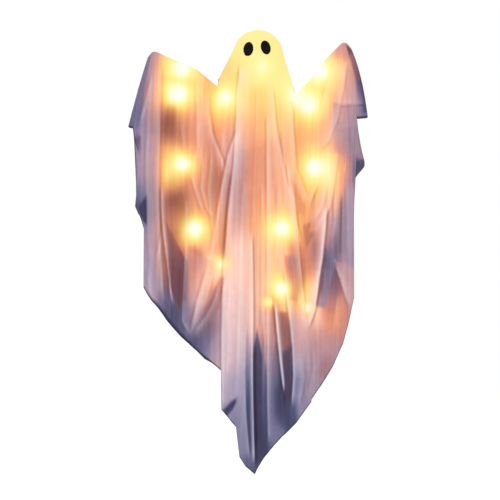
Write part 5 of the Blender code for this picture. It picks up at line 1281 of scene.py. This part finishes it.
# %% [markdown]
# The hardware under the cloth keeps its frame shapes, and gets finishes that a buyer would meet
# when they lift the gauze: zinc wire with drawing lines, satin moulded boxes, wrapped cells,
# plated springs and a green board. Each pattern reads the piece's own place, so it stays on it.

# %% Finishes of the hardware
def metal_finish(name, dark, light, roughness):
    """Plated metal with fine lines and a slightly uneven plating."""
    made, tree, shader = finish_named(name)
    place = place_of(tree)
    stretched = node(tree, "VectorMath", place, (40, 40, 700), operation="MULTIPLY")
    lines = noise(tree, stretched.outputs[0], 2, 4)
    shade = ramp(tree, noise(tree, place, 90), ((0.3, dark), (0.7, light)))
    rough = maths(tree, "MULTIPLY_ADD", lines, 0.3, roughness - 0.12)
    set_sockets(tree, shader, Base_Color=shade, Roughness=rough, Metallic=1.0)
    return made


def globe_finish():
    """Frosted plastic with the light of the lamp inside painted on as colour and glow: palest in
    the middle, warmer at the neck.
    """
    made, tree, shader = finish_named("frosted_shell")
    place = place_of(tree)
    height = node(tree, "SeparateXYZ", place).outputs["Z"]
    share = rescaled(tree, height, CROWN.z + 2 * GLOBE_Z, CROWN.z)
    frost = noise(tree, place, 900)
    glow = ramp(tree, share, ((0.05, paint(255, 206, 120)), (0.4, paint(255, 244, 176)),
                              (0.95, paint(255, 240, 178))))
    painted_glow = dimmed(tree, 0.5, glow)
    rough = maths(tree, "MULTIPLY_ADD", frost, 0.2, 0.45)
    set_sockets(tree, shader, Base_Color=painted_glow, Emission_Color=painted_glow, Emission_Strength=1.0,
                Roughness=rough, Normal=bumped(tree, frost, 0.2, 0.0002))
    return made


FINISHES = {
    "zinc": metal_finish("zinc_plate", paint(150, 152, 156), paint(196, 198, 202), 0.38),
    "black": moulded_finish("black_moulding", paint(20, 20, 22), paint(34, 34, 37), 0.5),
    "white": moulded_finish("white_moulding", paint(214, 212, 206), paint(232, 231, 226), 0.42),
    "globe": globe_finish(),
    "cell": moulded_finish("cell_wrapper", paint(60, 64, 72), paint(78, 84, 94), 0.36, 300),
    "spring": metal_finish("spring_plate", paint(176, 170, 158), paint(212, 208, 198), 0.3),
    "board": moulded_finish("board_lacquer", paint(28, 92, 52), paint(40, 116, 66), 0.45, 500),
    "sleeve": WIRE,
}
WEARS = {
    "zinc": ("hanging_eye", "spine_rod", "clamp_screw", "left_arm_wire", "right_arm_wire",
             "left_hand_ferrule", "right_hand_ferrule"),
    "black": ("shoulder_hub", "wire_splitter", "spine_tie", "left_inner_tie", "left_outer_tie",
              "right_inner_tie", "right_outer_tie", "power_switch"),
    "white": ("globe_collar", "battery_case", "battery_cover", "case_clip"),
    "globe": ("globe_front_shell", "globe_rear_shell"),
    "cell": ("cell_1", "cell_2", "cell_3"),
    "spring": ("contact_plate", "contact_spring_1", "contact_spring_2", "contact_spring_3"),
    "board": ("circuit_board",),
    "sleeve": ("left_shoulder_link", "right_shoulder_link"),
}
for finish_key, names in WEARS.items():
    for name in names:
        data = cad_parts[name].data
        data.materials.clear()
        data.materials.append(FINISHES[finish_key])
print("finished nodes", sum(len(names) for names in WEARS.values()))

# %% [markdown]
# The ghost hangs in front of a plain white room. The world lights it softly from all round, and
# one broad sun from the upper left gives the folds a little shape. What the camera sees behind
# is plain white, but the light that falls on the ghost is held lower, so its colours stay true.

# %% Room and light
FLOOR_Z = -1.62


def seen_by_camera(tree):
    """1 for what the camera sees straight or in a shine, and 0 for light on its way elsewhere."""
    path = tree.nodes.new("ShaderNodeLightPath").outputs
    return path, maths(tree, "MAXIMUM", path["Is Camera Ray"], path["Is Glossy Ray"])


def white_room():
    world = bpy.data.worlds.new("white_room")
    bpy.context.scene.world = world
    world.use_nodes = True
    tree = world.node_tree
    tree.nodes.clear()
    path, seen = seen_by_camera(tree)
    seen = maths(tree, "MAXIMUM", seen, path["Is Transmission Ray"])
    soft = node(tree, "Background", (1, 1, 1, 1), 0.78).outputs[0]
    white = node(tree, "Background", (1, 1, 1, 1), 1.0).outputs[0]
    mixed = node(tree, "MixShader", seen, soft, white).outputs[0]
    tree.links.new(mixed, tree.nodes.new("ShaderNodeOutputWorld").inputs[0])


def pale_floor():
    bpy.ops.mesh.primitive_plane_add(size=14, location=(0, 0, FLOOR_Z))
    floor = bpy.context.object
    floor.name = "studio_floor"
    made, tree, shader = finish_named("pale_floor")
    lift = dimmed(tree, seen_by_camera(tree)[1], (0.3, 0.3, 0.3, 1))
    set_sockets(tree, shader, Base_Color=(0.86, 0.86, 0.86, 1), Roughness=0.9,
                Emission_Color=lift, Emission_Strength=1.0)
    floor.data.materials.append(made)
    floor.select_set(False)


def broad_sun():
    sun = bpy.data.lights.new("broad_sun", "SUN")
    sun.energy, sun.angle = 0.7, math.radians(25)
    lamp = add_object("broad_sun", sun)
    lamp.rotation_euler = (math.radians(52), 0, math.radians(-28))


white_room()
pale_floor()
broad_sun()
print("room ready")
